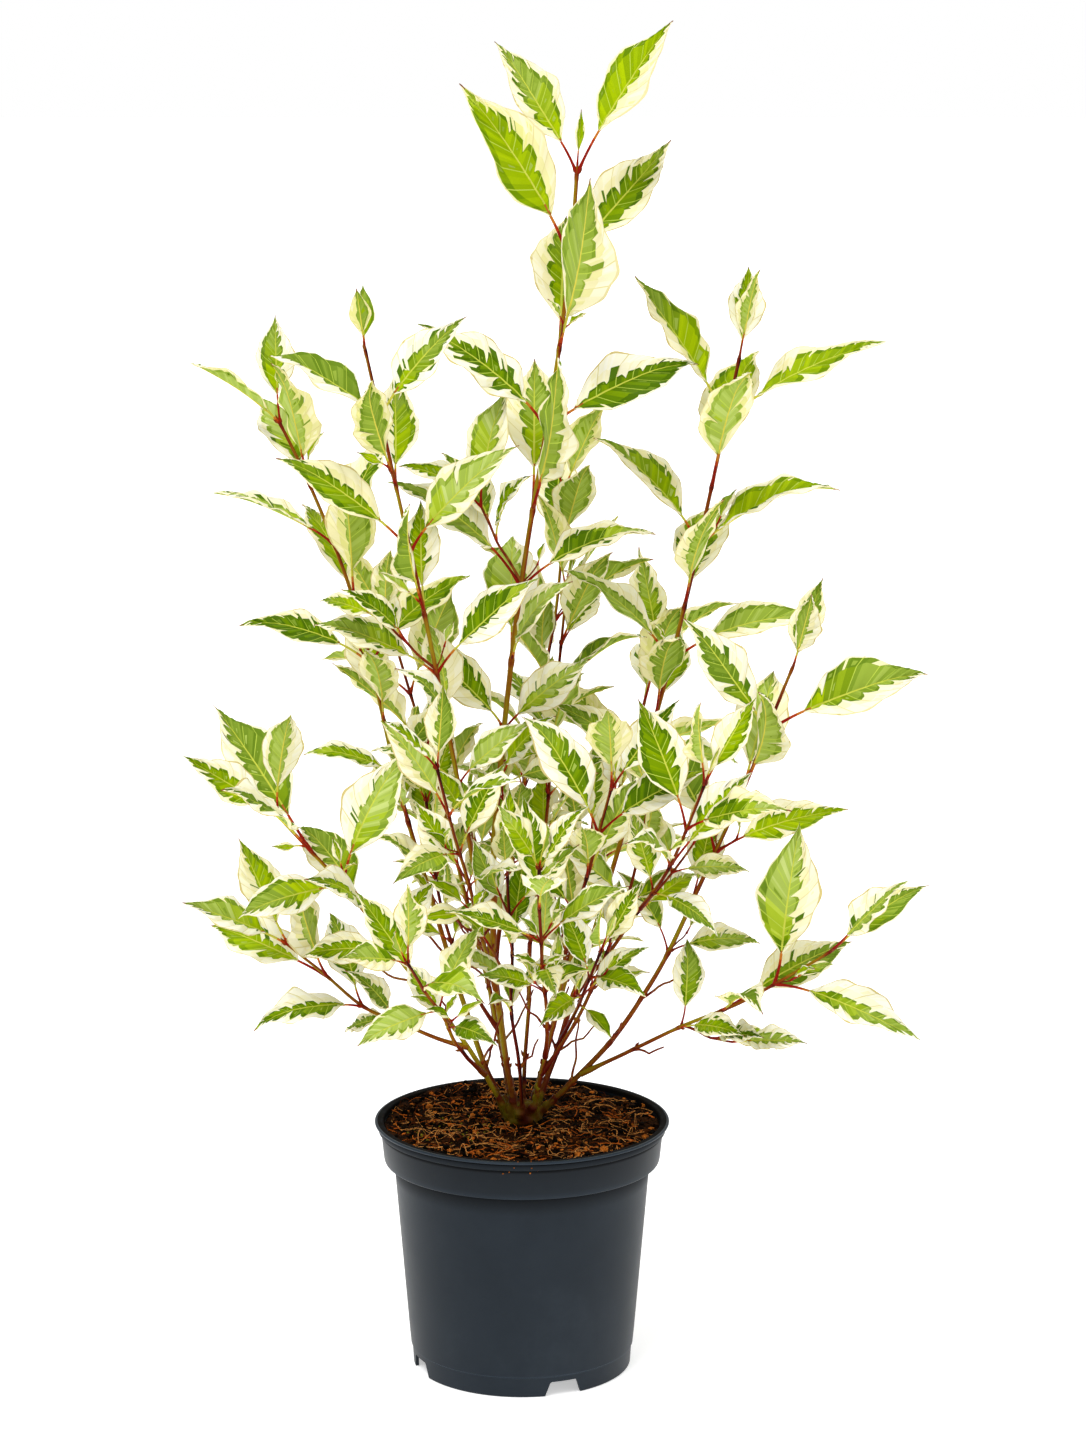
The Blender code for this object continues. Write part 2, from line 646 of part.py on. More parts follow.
def make_soil(collection):
    """The root ball that fills the pot, a hair clear of it on all sides."""
    inner = WALL + GAP
    channel = CHANNEL_HEIGHT + WALL + GAP
    rise = (SOIL_EDGE - COLLAR_FOOT_HEIGHT) / (POT_HEIGHT - COLLAR_FOOT_HEIGHT)
    edge = COLLAR_FOOT_RADIUS + (COLLAR_TOP_RADIUS - COLLAR_FOOT_RADIUS) * rise - inner
    profile = [
        (0.0, SOIL_TOP),
        (SOIL_FLAT_RADIUS, SOIL_TOP),
        (0.052, SOIL_TOP - 0.0012),
        (edge - 0.006, SOIL_EDGE + 0.0010),
        (edge - 0.0006, SOIL_EDGE),
        (COLLAR_FOOT_RADIUS - inner - 0.0008, COLLAR_FOOT_HEIGHT + 2 * WALL + GAP),
        (BODY_TOP_RADIUS - inner, COLLAR_FOOT_HEIGHT + WALL + GAP),
        (BODY_FOOT_RADIUS - inner, SKIRT_HEIGHT + WALL + GAP),
        (SKIRT_TOP_RADIUS - inner - 0.0004, channel),
        (PAD_RADIUS - WALL / 2 - GAP, channel),
        (PAD_RADIUS - WALL - GAP, inner),
        (0.0, inner),
    ]
    return turned("soil", profile, SOIL_STEPS, collection)


def make_crown(canes, collection):
    """The flared base with a flat cut on the soil, and one stub for each cane that stands on it."""
    pieces = new_collection("crown pieces")
    foot = SOIL_TOP + GAP
    shape = bmesh.new()
    bmesh.ops.create_cone(shape, cap_ends=True, segments=CROWN_SIDES, radius1=CROWN_FOOT_RADIUS,
                          radius2=CROWN_TOP_RADIUS, depth=CROWN_HEIGHT)
    bmesh.ops.translate(shape, verts=shape.verts, vec=(0.0, 0.0, foot + CROWN_HEIGHT / 2))
    mesh = bpy.data.meshes.new("crown")
    shape.to_mesh(mesh)
    shape.free()
    crown = bpy.data.objects.new("crown", mesh)
    collection.objects.link(crown)
    for cane in canes.values():
        if "fork" in cane:
            continue
        flare = lambda d, cane=cane: radius_at(cane, d) * (STUB_FLARE + (1.08 - STUB_FLARE) * d / STUB_LENGTH)
        rings = tube_rings(cane["path"], 0.0, STUB_LENGTH, flare, STUB_SIDES, 0.009)
        mesh_object(cane["name"] + "_stub", *ring_mesh(rings), pieces)
    fuse(crown, pieces)
    return crown


def make_limb(cane, collection):
    """The bare length of a cane, one tapering limb from its foot or fork to its foliage."""
    start = STUB_LENGTH + GAP if "foot" in cane else 0.0
    end = cane["bare"] - 0.012 - GAP
    count = max(2, round((end - start) / 0.022))
    curve = bpy.data.curves.new(cane["name"] + "_cane", "CURVE")
    curve.dimensions = "3D"
    curve.bevel_depth = 1.0
    curve.bevel_resolution = 1
    curve.use_fill_caps = True
    spline = curve.splines.new("POLY")
    spline.points.add(count)
    for i, knot in enumerate(spline.points):
        distance = start + (end - start) * i / count
        knot.co = (*cane["path"].at(distance)[0], 1.0)
        knot.radius = radius_at(cane, distance)
    limb = bpy.data.objects.new(curve.name, curve)
    collection.objects.link(limb)
    return limb


def make_mass(mass, collection):
    """A stem with its twigs and leaves, fused into one body."""
    cane = mass["cane"]
    radius_of = lambda d: radius_at(cane, d)
    rings = tube_rings(cane["path"], mass["start"] + GAP / 2, mass["end"] - GAP / 2, radius_of, 5, 0.024)
    stem = mesh_object(mass["name"], *ring_mesh(rings), collection)
    pieces = new_collection(mass["name"] + " pieces")
    for number, twig in enumerate(mass["twigs"]):
        slim = lambda d: TWIG_RADIUS
        rings = tube_rings(twig["path"], 0.0, twig["path"].length, slim, 3, twig["path"].length / TWIG_STEPS)
        mesh_object(f"{mass['name']}_twig_{number}", *ring_mesh(rings), pieces)
    leaves = mass["leaves"] + [leaf for twig in mass["twigs"] for leaf in twig["leaves"]]
    for number, leaf in enumerate(leaves):
        mesh_object(f"{mass['name']}_leaf_{number}", *ring_mesh(leaf.rings(), leaf.tip()), pieces)
    fuse(stem, pieces)
    return stem


def main():
    clear_scene()
    plant = new_collection("potted red-barked dogwood")
    cutters = new_collection("cutters")
    bark = material("cane bark", (0.16, 0.055, 0.028), 0.55)
    foliage = material("variegated leaf", (0.34, 0.46, 0.14), 0.45)
    plastic = material("pot plastic", (0.030, 0.038, 0.048), 0.42)
    peat = material("peat", (0.045, 0.022, 0.012), 0.95)
    finish(make_pot(plant, cutters), plastic)
    finish(make_soil(plant), peat)
    canes = lay_canes()
    finish(make_crown(canes, plant), bark)
    for cane in canes.values():
        finish(make_limb(cane, plant), bark)
    for mass in grow_masses(canes):
        finish(make_mass(mass, plant), foliage)


main()
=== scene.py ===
"""Looks of the potted variegated red-barked dogwood: leaves, canes, soil, pot, studio and camera.

Metres and +Z up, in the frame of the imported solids, whose front is -Y. Azimuths are in degrees from
+X towards +Y, and leans are in degrees from the vertical. Canes, twigs and leaves grow by the rule that
the solids grew by, so each stands where its solid stands, and finer shoots are carried on from them.
"""

import json
import math
import random

import bmesh
import bpy
import numpy as np
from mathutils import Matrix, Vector, noise
from mathutils.bvhtree import BVHTree

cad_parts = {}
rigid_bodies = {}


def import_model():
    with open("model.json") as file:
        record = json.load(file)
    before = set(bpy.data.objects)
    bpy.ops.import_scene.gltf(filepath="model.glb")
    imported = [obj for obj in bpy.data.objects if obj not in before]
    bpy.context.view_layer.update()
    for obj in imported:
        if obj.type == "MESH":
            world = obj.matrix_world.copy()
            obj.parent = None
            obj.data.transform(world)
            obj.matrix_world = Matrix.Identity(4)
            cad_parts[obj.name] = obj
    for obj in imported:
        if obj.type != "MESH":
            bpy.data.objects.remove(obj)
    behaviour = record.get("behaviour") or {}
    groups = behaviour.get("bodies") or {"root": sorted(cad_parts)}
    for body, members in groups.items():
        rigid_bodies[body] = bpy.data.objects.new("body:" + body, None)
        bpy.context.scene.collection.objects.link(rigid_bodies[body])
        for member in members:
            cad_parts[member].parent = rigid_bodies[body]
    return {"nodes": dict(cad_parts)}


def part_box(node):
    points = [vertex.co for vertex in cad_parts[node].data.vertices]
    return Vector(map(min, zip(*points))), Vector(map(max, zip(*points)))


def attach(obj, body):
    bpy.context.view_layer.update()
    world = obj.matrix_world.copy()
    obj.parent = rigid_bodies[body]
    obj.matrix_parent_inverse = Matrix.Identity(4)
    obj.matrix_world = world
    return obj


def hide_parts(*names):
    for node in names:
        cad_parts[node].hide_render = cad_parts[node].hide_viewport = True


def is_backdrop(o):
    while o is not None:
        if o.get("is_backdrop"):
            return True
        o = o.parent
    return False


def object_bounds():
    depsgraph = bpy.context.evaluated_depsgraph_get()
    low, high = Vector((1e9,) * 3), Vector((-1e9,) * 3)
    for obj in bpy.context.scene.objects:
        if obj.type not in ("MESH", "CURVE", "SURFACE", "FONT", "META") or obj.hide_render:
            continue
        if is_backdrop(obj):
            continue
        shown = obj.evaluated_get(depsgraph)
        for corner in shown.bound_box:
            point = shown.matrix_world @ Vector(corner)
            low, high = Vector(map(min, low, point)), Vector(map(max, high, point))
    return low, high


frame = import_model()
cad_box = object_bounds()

UP = Vector((0.0, 0.0, 1.0))

# The gap between neighbouring solids
GAP = 0.0003

# Pot: heights and outer radii, from the rim down
POT_HEIGHT = 0.163
RIM_RADIUS = 0.0952
LIP_HEIGHT = 0.0055
LIP_ROUND = 0.0012
COLLAR_TOP_RADIUS = 0.0913
COLLAR_FOOT_RADIUS = 0.0891
COLLAR_FOOT_HEIGHT = 0.1366
BODY_TOP_RADIUS = 0.0829
BODY_FOOT_RADIUS = 0.0725
SKIRT_TOP_RADIUS = 0.0716
SKIRT_FOOT_RADIUS = 0.0708
SKIRT_HEIGHT = 0.0135
SKIRT_WALL = 0.0024
WALL = 0.0018
PAD_RADIUS = 0.0480
CHANNEL_HEIGHT = 0.0085

# Pot: notches in the skirt, and drain holes in the channel above them
NOTCH_FIRST_AZIMUTH = -68.0
NOTCH_COUNT = 4
NOTCH_HEIGHT = 0.0095
NOTCH_FOOT_WIDTH = 0.0245
NOTCH_TOP_WIDTH = 0.0175
DRAIN_COUNT = 4
DRAIN_RADIUS = 0.0045
DRAIN_RING = 0.0580

# Soil: level under the canes, sloping a little to the wall
SOIL_TOP = 0.1615
SOIL_EDGE = 0.1590
SOIL_FLAT_RADIUS = 0.0220

# Crown: the swollen base that the canes grow from, above the soil
CROWN_FOOT_RADIUS = 0.0135
CROWN_HEIGHT = 0.0140
STUB_LENGTH = 0.0260
FOOT_RISE = 0.0048

# Canes: foot (radius, azimuth) on the crown, or a fork (parent, distance along it); tip (reach,
# azimuth, height); leans at both ends; radii at both ends; the bare length, the pairs of leaves,
# the turn of the top pair or of each pair from the top, the leaf size (and the top pair's share of it),
# and how many masses share the leafy length. A row leaves out what is as usual
USUAL = dict(radii=(0.0014, 0.0009), masses=1)
CANES = (
    dict(name="leader", foot=(0.004, 180), tip=(0.034, 0, 0.772), leans=(-12, 3),
         radii=(0.0023, 0.0012), bare=0.215, pairs=9, size=1.04, masses=3,
         turns=(0, 28, 98, 12, 100, 20, 95, 5, 100)),
    dict(name="far_left", foot=(0.010, 198), tip=(0.166, 161, 0.612), leans=(27, 30),
         radii=(0.0019, 0.0010), bare=0.200, pairs=8, turn=20, size=0.82, masses=2),
    dict(name="left_tall", foot=(0.010, 245), tip=(0.113, 212, 0.668), leans=(9, 14),
         radii=(0.0019, 0.0010), bare=0.195, pairs=9, turn=80, top=0.5, size=0.78, masses=2),
    dict(name="left_low", foot=(0.011, 222), tip=(0.176, 210, 0.385), leans=(30, 42),
         radii=(0.0018, 0.0010), bare=0.145, pairs=5, turn=6, size=0.84),
    dict(name="left_lowest", fork=("left_low", 0.062), tip=(0.154, 189, 0.288), leans=(74, 46),
         bare=0.042, pairs=4, turn=40, size=0.78),
    dict(name="middle_thin", foot=(0.006, 85), tip=(0.085, 70, 0.500), leans=(6, 14),
         bare=0.150, pairs=7, turn=30, size=0.68),
    dict(name="middle_right", foot=(0.010, -50), tip=(0.097, -55, 0.400), leans=(18, 24),
         radii=(0.0016, 0.0009), bare=0.125, pairs=5, turn=60, size=0.76),
    dict(name="right_tall", foot=(0.009, 20), tip=(0.144, 16, 0.655), leans=(20, 12),
         radii=(0.0020, 0.0011), bare=0.205, pairs=9, turn=85, top=0.62, size=0.88, masses=2),
    dict(name="right", foot=(0.010, -8), tip=(0.173, -10, 0.468), leans=(48, 22),
         radii=(0.0019, 0.0010), bare=0.140, pairs=6, turn=90, top=0.58, size=0.86),
    dict(name="right_low", fork=("right", 0.048), tip=(0.212, -24, 0.298), leans=(60, 54),
         bare=0.070, pairs=4, turn=70, size=0.86),
    dict(name="back_tall", fork=("leader", 0.105), tip=(0.135, 78, 0.560), leans=(36, 6),
         radii=(0.0015, 0.0009), bare=0.080, pairs=7, turn=20, size=0.74),
    dict(name="back_left", foot=(0.010, 128), tip=(0.165, 122, 0.460), leans=(20, 32),
         radii=(0.0016, 0.0009), bare=0.140, pairs=6, turn=50, size=0.74),
    dict(name="back_right", foot=(0.010, 52), tip=(0.175, 58, 0.450), leans=(26, 28),
         radii=(0.0016, 0.0009), bare=0.140, pairs=6, turn=5, size=0.74),
    dict(name="back_low_left", fork=("back_left", 0.060), tip=(0.175, 102, 0.335), leans=(56, 50),
         bare=0.055, pairs=4, turn=30, size=0.72),
    dict(name="back_low_right", fork=("back_right", 0.058), tip=(0.175, 74, 0.318), leans=(58, 52),
         bare=0.055, pairs=4, turn=60, size=0.72),
    dict(name="front_left", fork=("left_tall", 0.095), tip=(0.150, -110, 0.425), leans=(30, 30),
         bare=0.060, pairs=5, turn=45, size=0.66),
    dict(name="front_middle", fork=("middle_right", 0.050), tip=(0.150, -86, 0.365), leans=(44, 34),
         bare=0.070, pairs=5, turn=10, size=0.64),
    dict(name="front_right", fork=("right_tall", 0.085), tip=(0.160, -46, 0.410), leans=(42, 24),
         bare=0.090, pairs=5, turn=55, size=0.68),
    dict(name="front_low", fork=("left_low", 0.040), tip=(0.160, -116, 0.305), leans=(56, 48),
         bare=0.075, pairs=4, turn=20, size=0.66),
    dict(name="inner_front", foot=(0.0115, -88), tip=(0.075, -97, 0.345), leans=(24, 10),
         radii=(0.0013, 0.0009), bare=0.085, pairs=5, turn=75, size=0.52),
    dict(name="inner_left", fork=("leader", 0.060), tip=(0.062, 172, 0.375), leans=(36, 4),
         radii=(0.0013, 0.0009), bare=0.060, pairs=5, turn=35, size=0.54),
    dict(name="inner_right", fork=("middle_right", 0.040), tip=(0.088, -24, 0.385), leans=(34, 10),
         radii=(0.0013, 0.0009), bare=0.060, pairs=5, turn=15, size=0.54),
    dict(name="inner_low", fork=("right_tall", 0.050), tip=(0.105, -62, 0.300), leans=(40, 34),
         radii=(0.0013, 0.0009), bare=0.050, pairs=4, turn=50, size=0.52),
)
HANDLE = 0.36
PATH_STEPS = 60
WANDER = 0.0022
SEED = 41

# Leaves: sizes of a full-grown one, and how it stands on its cane
BLADE_LENGTH = 0.094
BLADE_WIDTH = 0.0445
PETIOLE_LENGTH = 0.022
PETIOLE_RADIUS = 0.0008
LEAF_THICKNESS = 0.0013
SIZES = (0.88, 1.10)
TOP_SIZE = 0.8
SIZE_ALONG = ((0.0, 0.60), (0.35, 0.84), (0.7, 1.0), (1.0, 1.0))
SPREAD_ALONG = ((0.0, 68.0), (0.6, 60.0), (0.88, 56.0), (1.0, 36.0))
SPREAD_SWING = 6.0
ERECT = 0.42
NODE_STRETCH = 1.12
TWIGS_BELOW = 0.55
TIP_BUD = 0.006
PAIR = ((0.0, 0.0), (180.0, 0.0007))
LIFT = 0.24
DROOP_ALONG = ((0.0, 0.62), (0.6, 0.40), (1.0, 0.22))
DROOP_SWING = 0.18
FOLD = (9.0, 22.0)
ROLL = 16.0
FACE_FRONT = 0.85
FACE_TURN = 0.11
STALK_STRETCH = (0.75, 1.5)
TILT = 7.0
TRIES = 16
CLEARANCE = 0.0013
LOWEST_LEAF = 0.204
FRONT_RISE = 0.29
STATIONS = (0.30, 0.66)

# How much further each try to fit a leaf turns, tilts, rolls and shrinks it
TRY_REACH = 0.9
TRY_TURN = 6.0
TRY_TILT = 3.0
TRY_ROLL = 4.0
TRY_SHRINK = 0.018

# Side twigs from some of the lower nodes; for each of their pairs of leaves its place, turn and spread
TWIG_CHANCE = 0.75
TWIG_LENGTH = (0.035, 0.060)
TWIG_RADIUS = 0.0010
TWIG_LEAN = (38.0, 58.0)
TWIG_LEAF_SIZE = 0.60
TWIG_LEAF_SIZES = (0.8, 1.15)
TWIG_TURN = 8.0
TWIG_RISE = 0.004
TWIG_DROOP = 0.6
TWIG_PAIRS = ((0.55, 90.0, 62.0), (0.96, 0.0, 40.0))

# Finer shoots: small leaflets at each tip and short sprigs in some of the axils
TIP_LEAF_SIZE = (0.20, 0.34)
TIP_LEAF_SPREAD, TIP_LEAF_DROOP = 12.0, 0.1
TIP_LEAF_SLIM, TIP_LEAF_FOLD = 0.62, 38.0
SPRIG_CHANCE = 0.34
SPRIG_LENGTH = (0.008, 0.018)
SPRIG_RADIUS = 0.0006
SPRIG_RISE = 0.0025
SPRIG_TURN = 12.0
SPRIG_OUT = (0.5, 0.9)
SPRIG_LEAF_SIZE = (0.14, 0.27)
SPRIG_LEAF_SPREAD, SPRIG_LEAF_DROOP, SPRIG_LEAF_SLIM = 42.0, 0.3, 0.85

# Snags: leafless shoots from some of the old nodes below the leaves
SNAG_CHANCE = 0.34
SNAG_LEAN = (28.0, 56.0)
SNAG_LENGTH = (0.016, 0.044)
SNAG_RADIUS = 0.0009
SNAG_WANDER = 0.0016
SNAG_TURN = 20.0

# Blade mesh: cross lines start at the rib and run forward to the margin, as the veins do. A lobe's
# shape is the place of each line about a notch, its reach into the green and its place in the quilting
VEIN_COUNT, TIP_LOBES = 5, 3
SMALL_LEAF, SMALL_VEINS, SMALL_LOBES = 0.36, 3, 1
LOBE_SHAPE = ((-0.28, 0.80, 0.7), (-0.12, 0.42, 1.0), (0.0, 0.0, 1.0), (0.10, 0.80, 0.8))
VEIN_FIRST, VEIN_LAST = 0.05, 0.60
VEIN_WIDTH = 0.00066
SWEEP = 0.25
SWEEP_CURVE = 1.35
BLADE_THICKNESS = 0.00034
RIB_HALF_WIDTH = (0.00080, 0.00024)
RIB_DEPTH = (0.00100, 0.00022)
RIB_GROOVE = 0.00022
QUILT = 0.0022
VEIN_RIDGE = 0.00022
MARGIN_WAVE = (0.0008, 0.0034)
WAVE_COUNT = (1.6, 3.4)
CREASE = 0.00022
TIP_CURL = (-0.15, 0.60)
TIP_CURL_FROM = 0.55
TWIST = 20.0
SIDE_BEND = 0.075
EDGE_SCALLOP = 0.07
EDGE_WAVE = 0.05
TIP_PULL, TIP_PULL_POWER = 0.68, 4
BASE_PULL, BASE_PULL_POWER = 0.35, 8
MARGIN_FROM = 0.90

# Variegation: how much of the half width is green, and how its fingers differ
GREEN_MEAN = (0.44, 0.82)
GREEN_UNEVEN = 0.36
GREEN_INNER = 0.74
CREAM_INNER = 0.42
LOBE_SWING = 0.24
RAGGED_UNDER = 0.86
NOTCH_REACH, RAGGED_NOTCH = (0.80, 0.93), 0.33
DEEP_NOTCH_CHANCE, DEEP_NOTCH_REACH = 0.36, (0.10, 0.42)
GREEN_ALONG = ((0.0, 0.12, 0.55, 0.80, 1.0), (0.5, 1.0, 1.0, 0.5, 0.0))
GREEN_TIP_ALONG = ((0.0, 0.55, 0.80, 1.0), (0.0, 0.0, 0.5, 1.0))
GREEN_LIMITS = (0.05, 0.935)
GREEN_TIP_CHANCE = 0.68
GREEN_TIP_MEAN = (0.78, 0.98)
ISLET_CHANCE = 0.055
FLECK_CHANCE = 0.045
# Sage on a leaf's upper face, towards the tip on most leaves and nearly all over on some, is partly the
# leaf's own grey-green and partly painted sheen
SAGE_CHANCE = (0.16, 0.55)
SAGE_TIP = (0.20, 1.15)
# Painted shade of the quilting: cells at the veins are dealt darker greens, cells between them lighter
QUILT_PAINTED_SHADE = 2.0
FRINGE_TONE = 1.9
SAGE_BLEND = 0.09

# How single leaves differ
SAGE_FROM = (-0.3, 0.35)
SAGE_TONE = (0.3, 3.3)
GREEN_TONE = (0.7, 4.5)
UNDER_TONE = (0.3, 2.4)
CREAM_TONE = (-0.3, 1.1)
SPECKLES = (0.3, 1.0, 1.0, 2.4)
RED_FEET = (0.0, 0.03, 0.08)
BROWN_TIP_CHANCE = 0.7

# Colours as display values from 0 to 255; a tint is its name, the steps between colours and the colours
LEAF_TINTS = (
    ("bright", 2, ((184, 204, 14), (168, 192, 2), (152, 178, 0), (136, 163, 0), (118, 148, 0),
                   (98, 131, 2), (78, 110, 4))),
    ("halfway", 1, ((184, 203, 68), (166, 188, 44), (146, 171, 28), (124, 151, 20), (98, 128, 14))),
    ("sage", 2, ((194, 209, 122), (171, 191, 88), (148, 171, 60), (126, 152, 44), (104, 133, 30))),
    ("cream", 2, ((250, 247, 231), (247, 242, 211), (242, 234, 182), (227, 223, 142))),
    ("edge", 1, ((228, 216, 160), (208, 190, 124))),
    ("vein", 1, ((184, 204, 76), (226, 215, 152))),
    ("rib", 1, ((200, 206, 78), (214, 202, 80), (186, 104, 50))),
    ("islet", 1, ((80, 114, 18),)),
    ("tip", 1, ((150, 84, 42),)),
)
LEAF_ROUGHNESS = 0.46
LEAF_SHEEN = 0.035
LEAF_PIECE_LIMIT = 190000
MOST_BLADE_TRIANGLES = 2600

# Stalks, red at the foot and yellow at the blade
STALK_SIDES = 7
STALK_STEPS = 6
STALK_RADII = (0.00140, 0.00100)
STALK_TINTS = ((138, 26, 12), (170, 58, 20), (190, 112, 36), (192, 186, 66))
STALK_REDNESS = (0.2, 0.45, 0.7, 0.95)
STALK_ROUGHNESS = 0.42

# Canes
CANE_SIDES = 12
CANE_STEP = 0.0026
RIDGES = 0.055
OLD_NODE_FIRST = 0.030
OLD_NODE_STAGGER = 0.004
OLD_NODE_SPACING = 0.038
NODE_SWELL = 0.34
OLD_NODE_SWELL = 0.16
NODE_REACH = 0.0022
FORK_FLARE = 0.45
FORK_FLARE_REACH = 0.0055
FORK_SINK = 0.012
KINK = 0.0011

# Buds at every node, with their width at shares of their length
BUD_LENGTH = (0.0028, 0.0046)
BUD_RADIUS = 0.0009
BUD_RISE = 0.0009
BUD_SHAPE = ((0.0, 0.55), (0.18, 0.95), (0.42, 1.0), (0.68, 0.70), (0.88, 0.32))

# Redness of the bark: what each cane adds, and how much comes of height, nodes, drift and the foot
CANE_REDNESS = {
    "leader": 0.04, "far_left": 0.06, "left_tall": 0.08, "left_low": -0.12, "left_lowest": -0.10,
    "right_tall": 0.24, "right": 0.16, "right_low": 0.10, "middle_right": 0.22, "middle_thin": 0.26,
    "inner_front": 0.42, "inner_left": 0.36, "inner_right": 0.40, "inner_low": 0.44,
    "front_left": 0.20, "front_middle": 0.30, "front_right": 0.34, "front_low": 0.22,
}
OTHER_REDNESS = 0.1
RED_LEVEL, RED_RISE, RED_NODE, RED_DRIFT = 0.14, 0.40, 0.34, 0.58
BARK_STOPS = ((0.0, (152, 134, 16)), (0.22, (142, 108, 10)), (0.42, (134, 72, 7)),
              (0.62, (114, 39, 6)), (0.85, (98, 17, 4)), (1.0, (52, 5, 3)))
YOUNG_BARK_STOPS = ((0.32, (92, 20, 8)), (0.5, (120, 42, 14)), (0.68, (142, 92, 28)))
FOOT_RED = 0.38
FOOT_RED_REACH = 0.05
# Painted light and shade: each cane is redder and darker on its side away from the key lamp and more olive
# on its lit side
SHADE_SIDE_RED = 0.24
SHADE_SIDE_WAY = Vector((0.85, 0.5, 0.0))
BARK_SHEEN = 0.07
# Painted shade: the bark of the crown and canes darkens towards the soil, up to this height
FOOT_SHADE_TOP = 0.215
FOOT_PAINTED_SHADES = ((0.75, 138), (0.81, 160), (0.90, 215), (1.0, 255))

# Stumps of old stems on the crown: azimuth, lean, length and radius
STUMPS = ((20, 25, 0.016, 0.0024), (300, 40, 0.012, 0.0028),
          (150, 35, 0.013, 0.0022), (265, 50, 0.011, 0.0036))
CROWN_VOXEL = 0.0009

# Pot detail; the painted shade and highlight, of 255, and the roughness go by the share of the pot's height
POT_SIDES = 160
POT_TINTS = ((0.45, (34, 44, 54)), (0.75, (42, 52, 62)), (1.0, (54, 64, 74)))
# Painted light by height: a highlight at the skirt's top, shadow under the collar, a highlight on the
# collar's foot, dark shade in the step under the band and in the groove under the roll, a highlight on the
# lip's top
POT_PAINTED_SHADE_AND_HIGHLIGHT = ((0.0, 196), (0.076, 196), (0.080, 250), (0.084, 250), (0.088, 196), (0.76, 196),
              (0.815, 130), (0.836, 84), (0.840, 222), (0.852, 195), (0.865, 168), (0.945, 150),
              (0.953, 84), (0.959, 84), (0.964, 168), (0.980, 150), (0.984, 56), (0.987, 56),
              (0.990, 255), (1.0, 240))
POT_ROUGH = ((0.0, 0.36), (0.76, 0.36), (0.815, 0.60), (0.836, 0.80), (0.840, 0.34), (0.945, 0.36),
             (0.953, 0.75), (0.959, 0.75), (0.964, 0.36), (0.984, 0.75), (0.987, 0.75),
             (0.990, 0.26), (1.0, 0.30))
POT_DUST = 0.12
POT_SHEEN = 0.13
ROLL_RADIUS = 0.0009
LIP_EDGE = 0.0017
# The inner wall above the soil and the lip's inner half: nearly black painted shade, mottled brown with
# peat
INNER_SHADE_TINTS = ((0.40, (7, 8, 9)), (0.68, (24, 18, 13)))
BAND_RADIUS = 0.0930
BAND_TOP, BAND_FOOT = 0.0027, 0.0062
NOTCH_ROUND = 0.0018

# Soil detail; a spilt crumb has its azimuth, its drop below the lip and its radius
SOIL_SHEEN = 0.04
PEAT_STOPS = ((0.72, (7, 3, 1)), (0.92, (20, 10, 4)), (1.0, (58, 31, 12)))
HEAP_AZIMUTH, HEAP_SPREAD, HEAP_RISE = 118.0, 34.0, 0.0046
SOIL_RINGS = 44
SOIL_SIDES = 144
CRUMB_COUNT = 2300
CRUMB_RADIUS = (0.0004, 0.0024)
CRUMB_TINTS = ((7, 3, 1), (22, 11, 4), (74, 38, 12), (186, 104, 36), (120, 112, 30))
CRUMB_MIX = (0, 0, 0, 0, 1, 1, 2, 3)
MOSS_COUNT = 60
MOSS_SLOT, SPILT_SLOT = 4, 3
FIBRE_COUNT = 820
FIBRE_LENGTH = (0.008, 0.040)
FIBRE_RADIUS = (0.00014, 0.00038)
FIBRE_STEPS = 11
FIBRE_SHARES = (0.4, 0.7, 1.0)
FIBRE_CURL = 150.0
FIBRE_ARCH = (0.0002, 0.0030)
STRAY_CHANCE, STRAY_LIFT = 0.10, 3.5
FIBRE_TINTS = ((228, 150, 82), (200, 102, 34), (84, 36, 10), (26, 11, 4))
FIBRE_MIX = (0, 0, 1, 2, 3, 3)
CHIP_COUNT = 300
CHIP_MIX = (1, 2, 3, 3)
SPILT = ((-91.5, 0.0, 0.0006), (-93.0, 0.0040, 0.0005), (-95.0, 0.0075, 0.0006), (-97.5, 0.0085, 0.0005),
         (-86.5, 0.0, 0.0006), (-86.3, 0.0042, 0.0005), (-86.8, 0.0080, 0.0006), (-83.8, 0.0065, 0.0005))

# Studio: the elevation, azimuth, strength and softness in degrees of each distant lamp
FLOOR_RADIUS = 60.0
FLOOR_SIDES = 96
FLOOR_SHADE = 244
FLOOR_GLOW = 0.48
LAMPS = (("key", 60.0, 234.0, 1.90, 30.0),
         ("fill", 34.0, 318.0, 0.45, 60.0),
         ("rim", 55.0, 75.0, 0.60, 50.0))
WORLD_LIGHT = 0.50
WORLD_SEEN = 1.0

# Camera, fitted to the photograph of 1086 by 1448 pixels
IMAGE_HEIGHT = 1448
CAMERA_FOCAL_PIXELS = 3532
CAMERA_SHIFT_PIXELS = 21
CAMERA_PLACE = (0.0, -2.2, 0.83)
CAMERA_DOWN = 10.5


def between(table, at):
    """The value at this share along a table of (share, value), read in straight lines."""
    for (low, a), (high, b) in zip(table, table[1:]):
        if at <= high:
            return a + (b - a) * (at - low) / (high - low)
    return table[-1][1]


def polar(radius, azimuth, height):
    turn = math.radians(azimuth)
    return Vector((radius * math.cos(turn), radius * math.sin(turn), height))


def leaning(lean, azimuth):
    """The unit direction that leans this far from the vertical towards an azimuth."""
    return polar(math.sin(math.radians(lean)), azimuth, math.cos(math.radians(lean)))


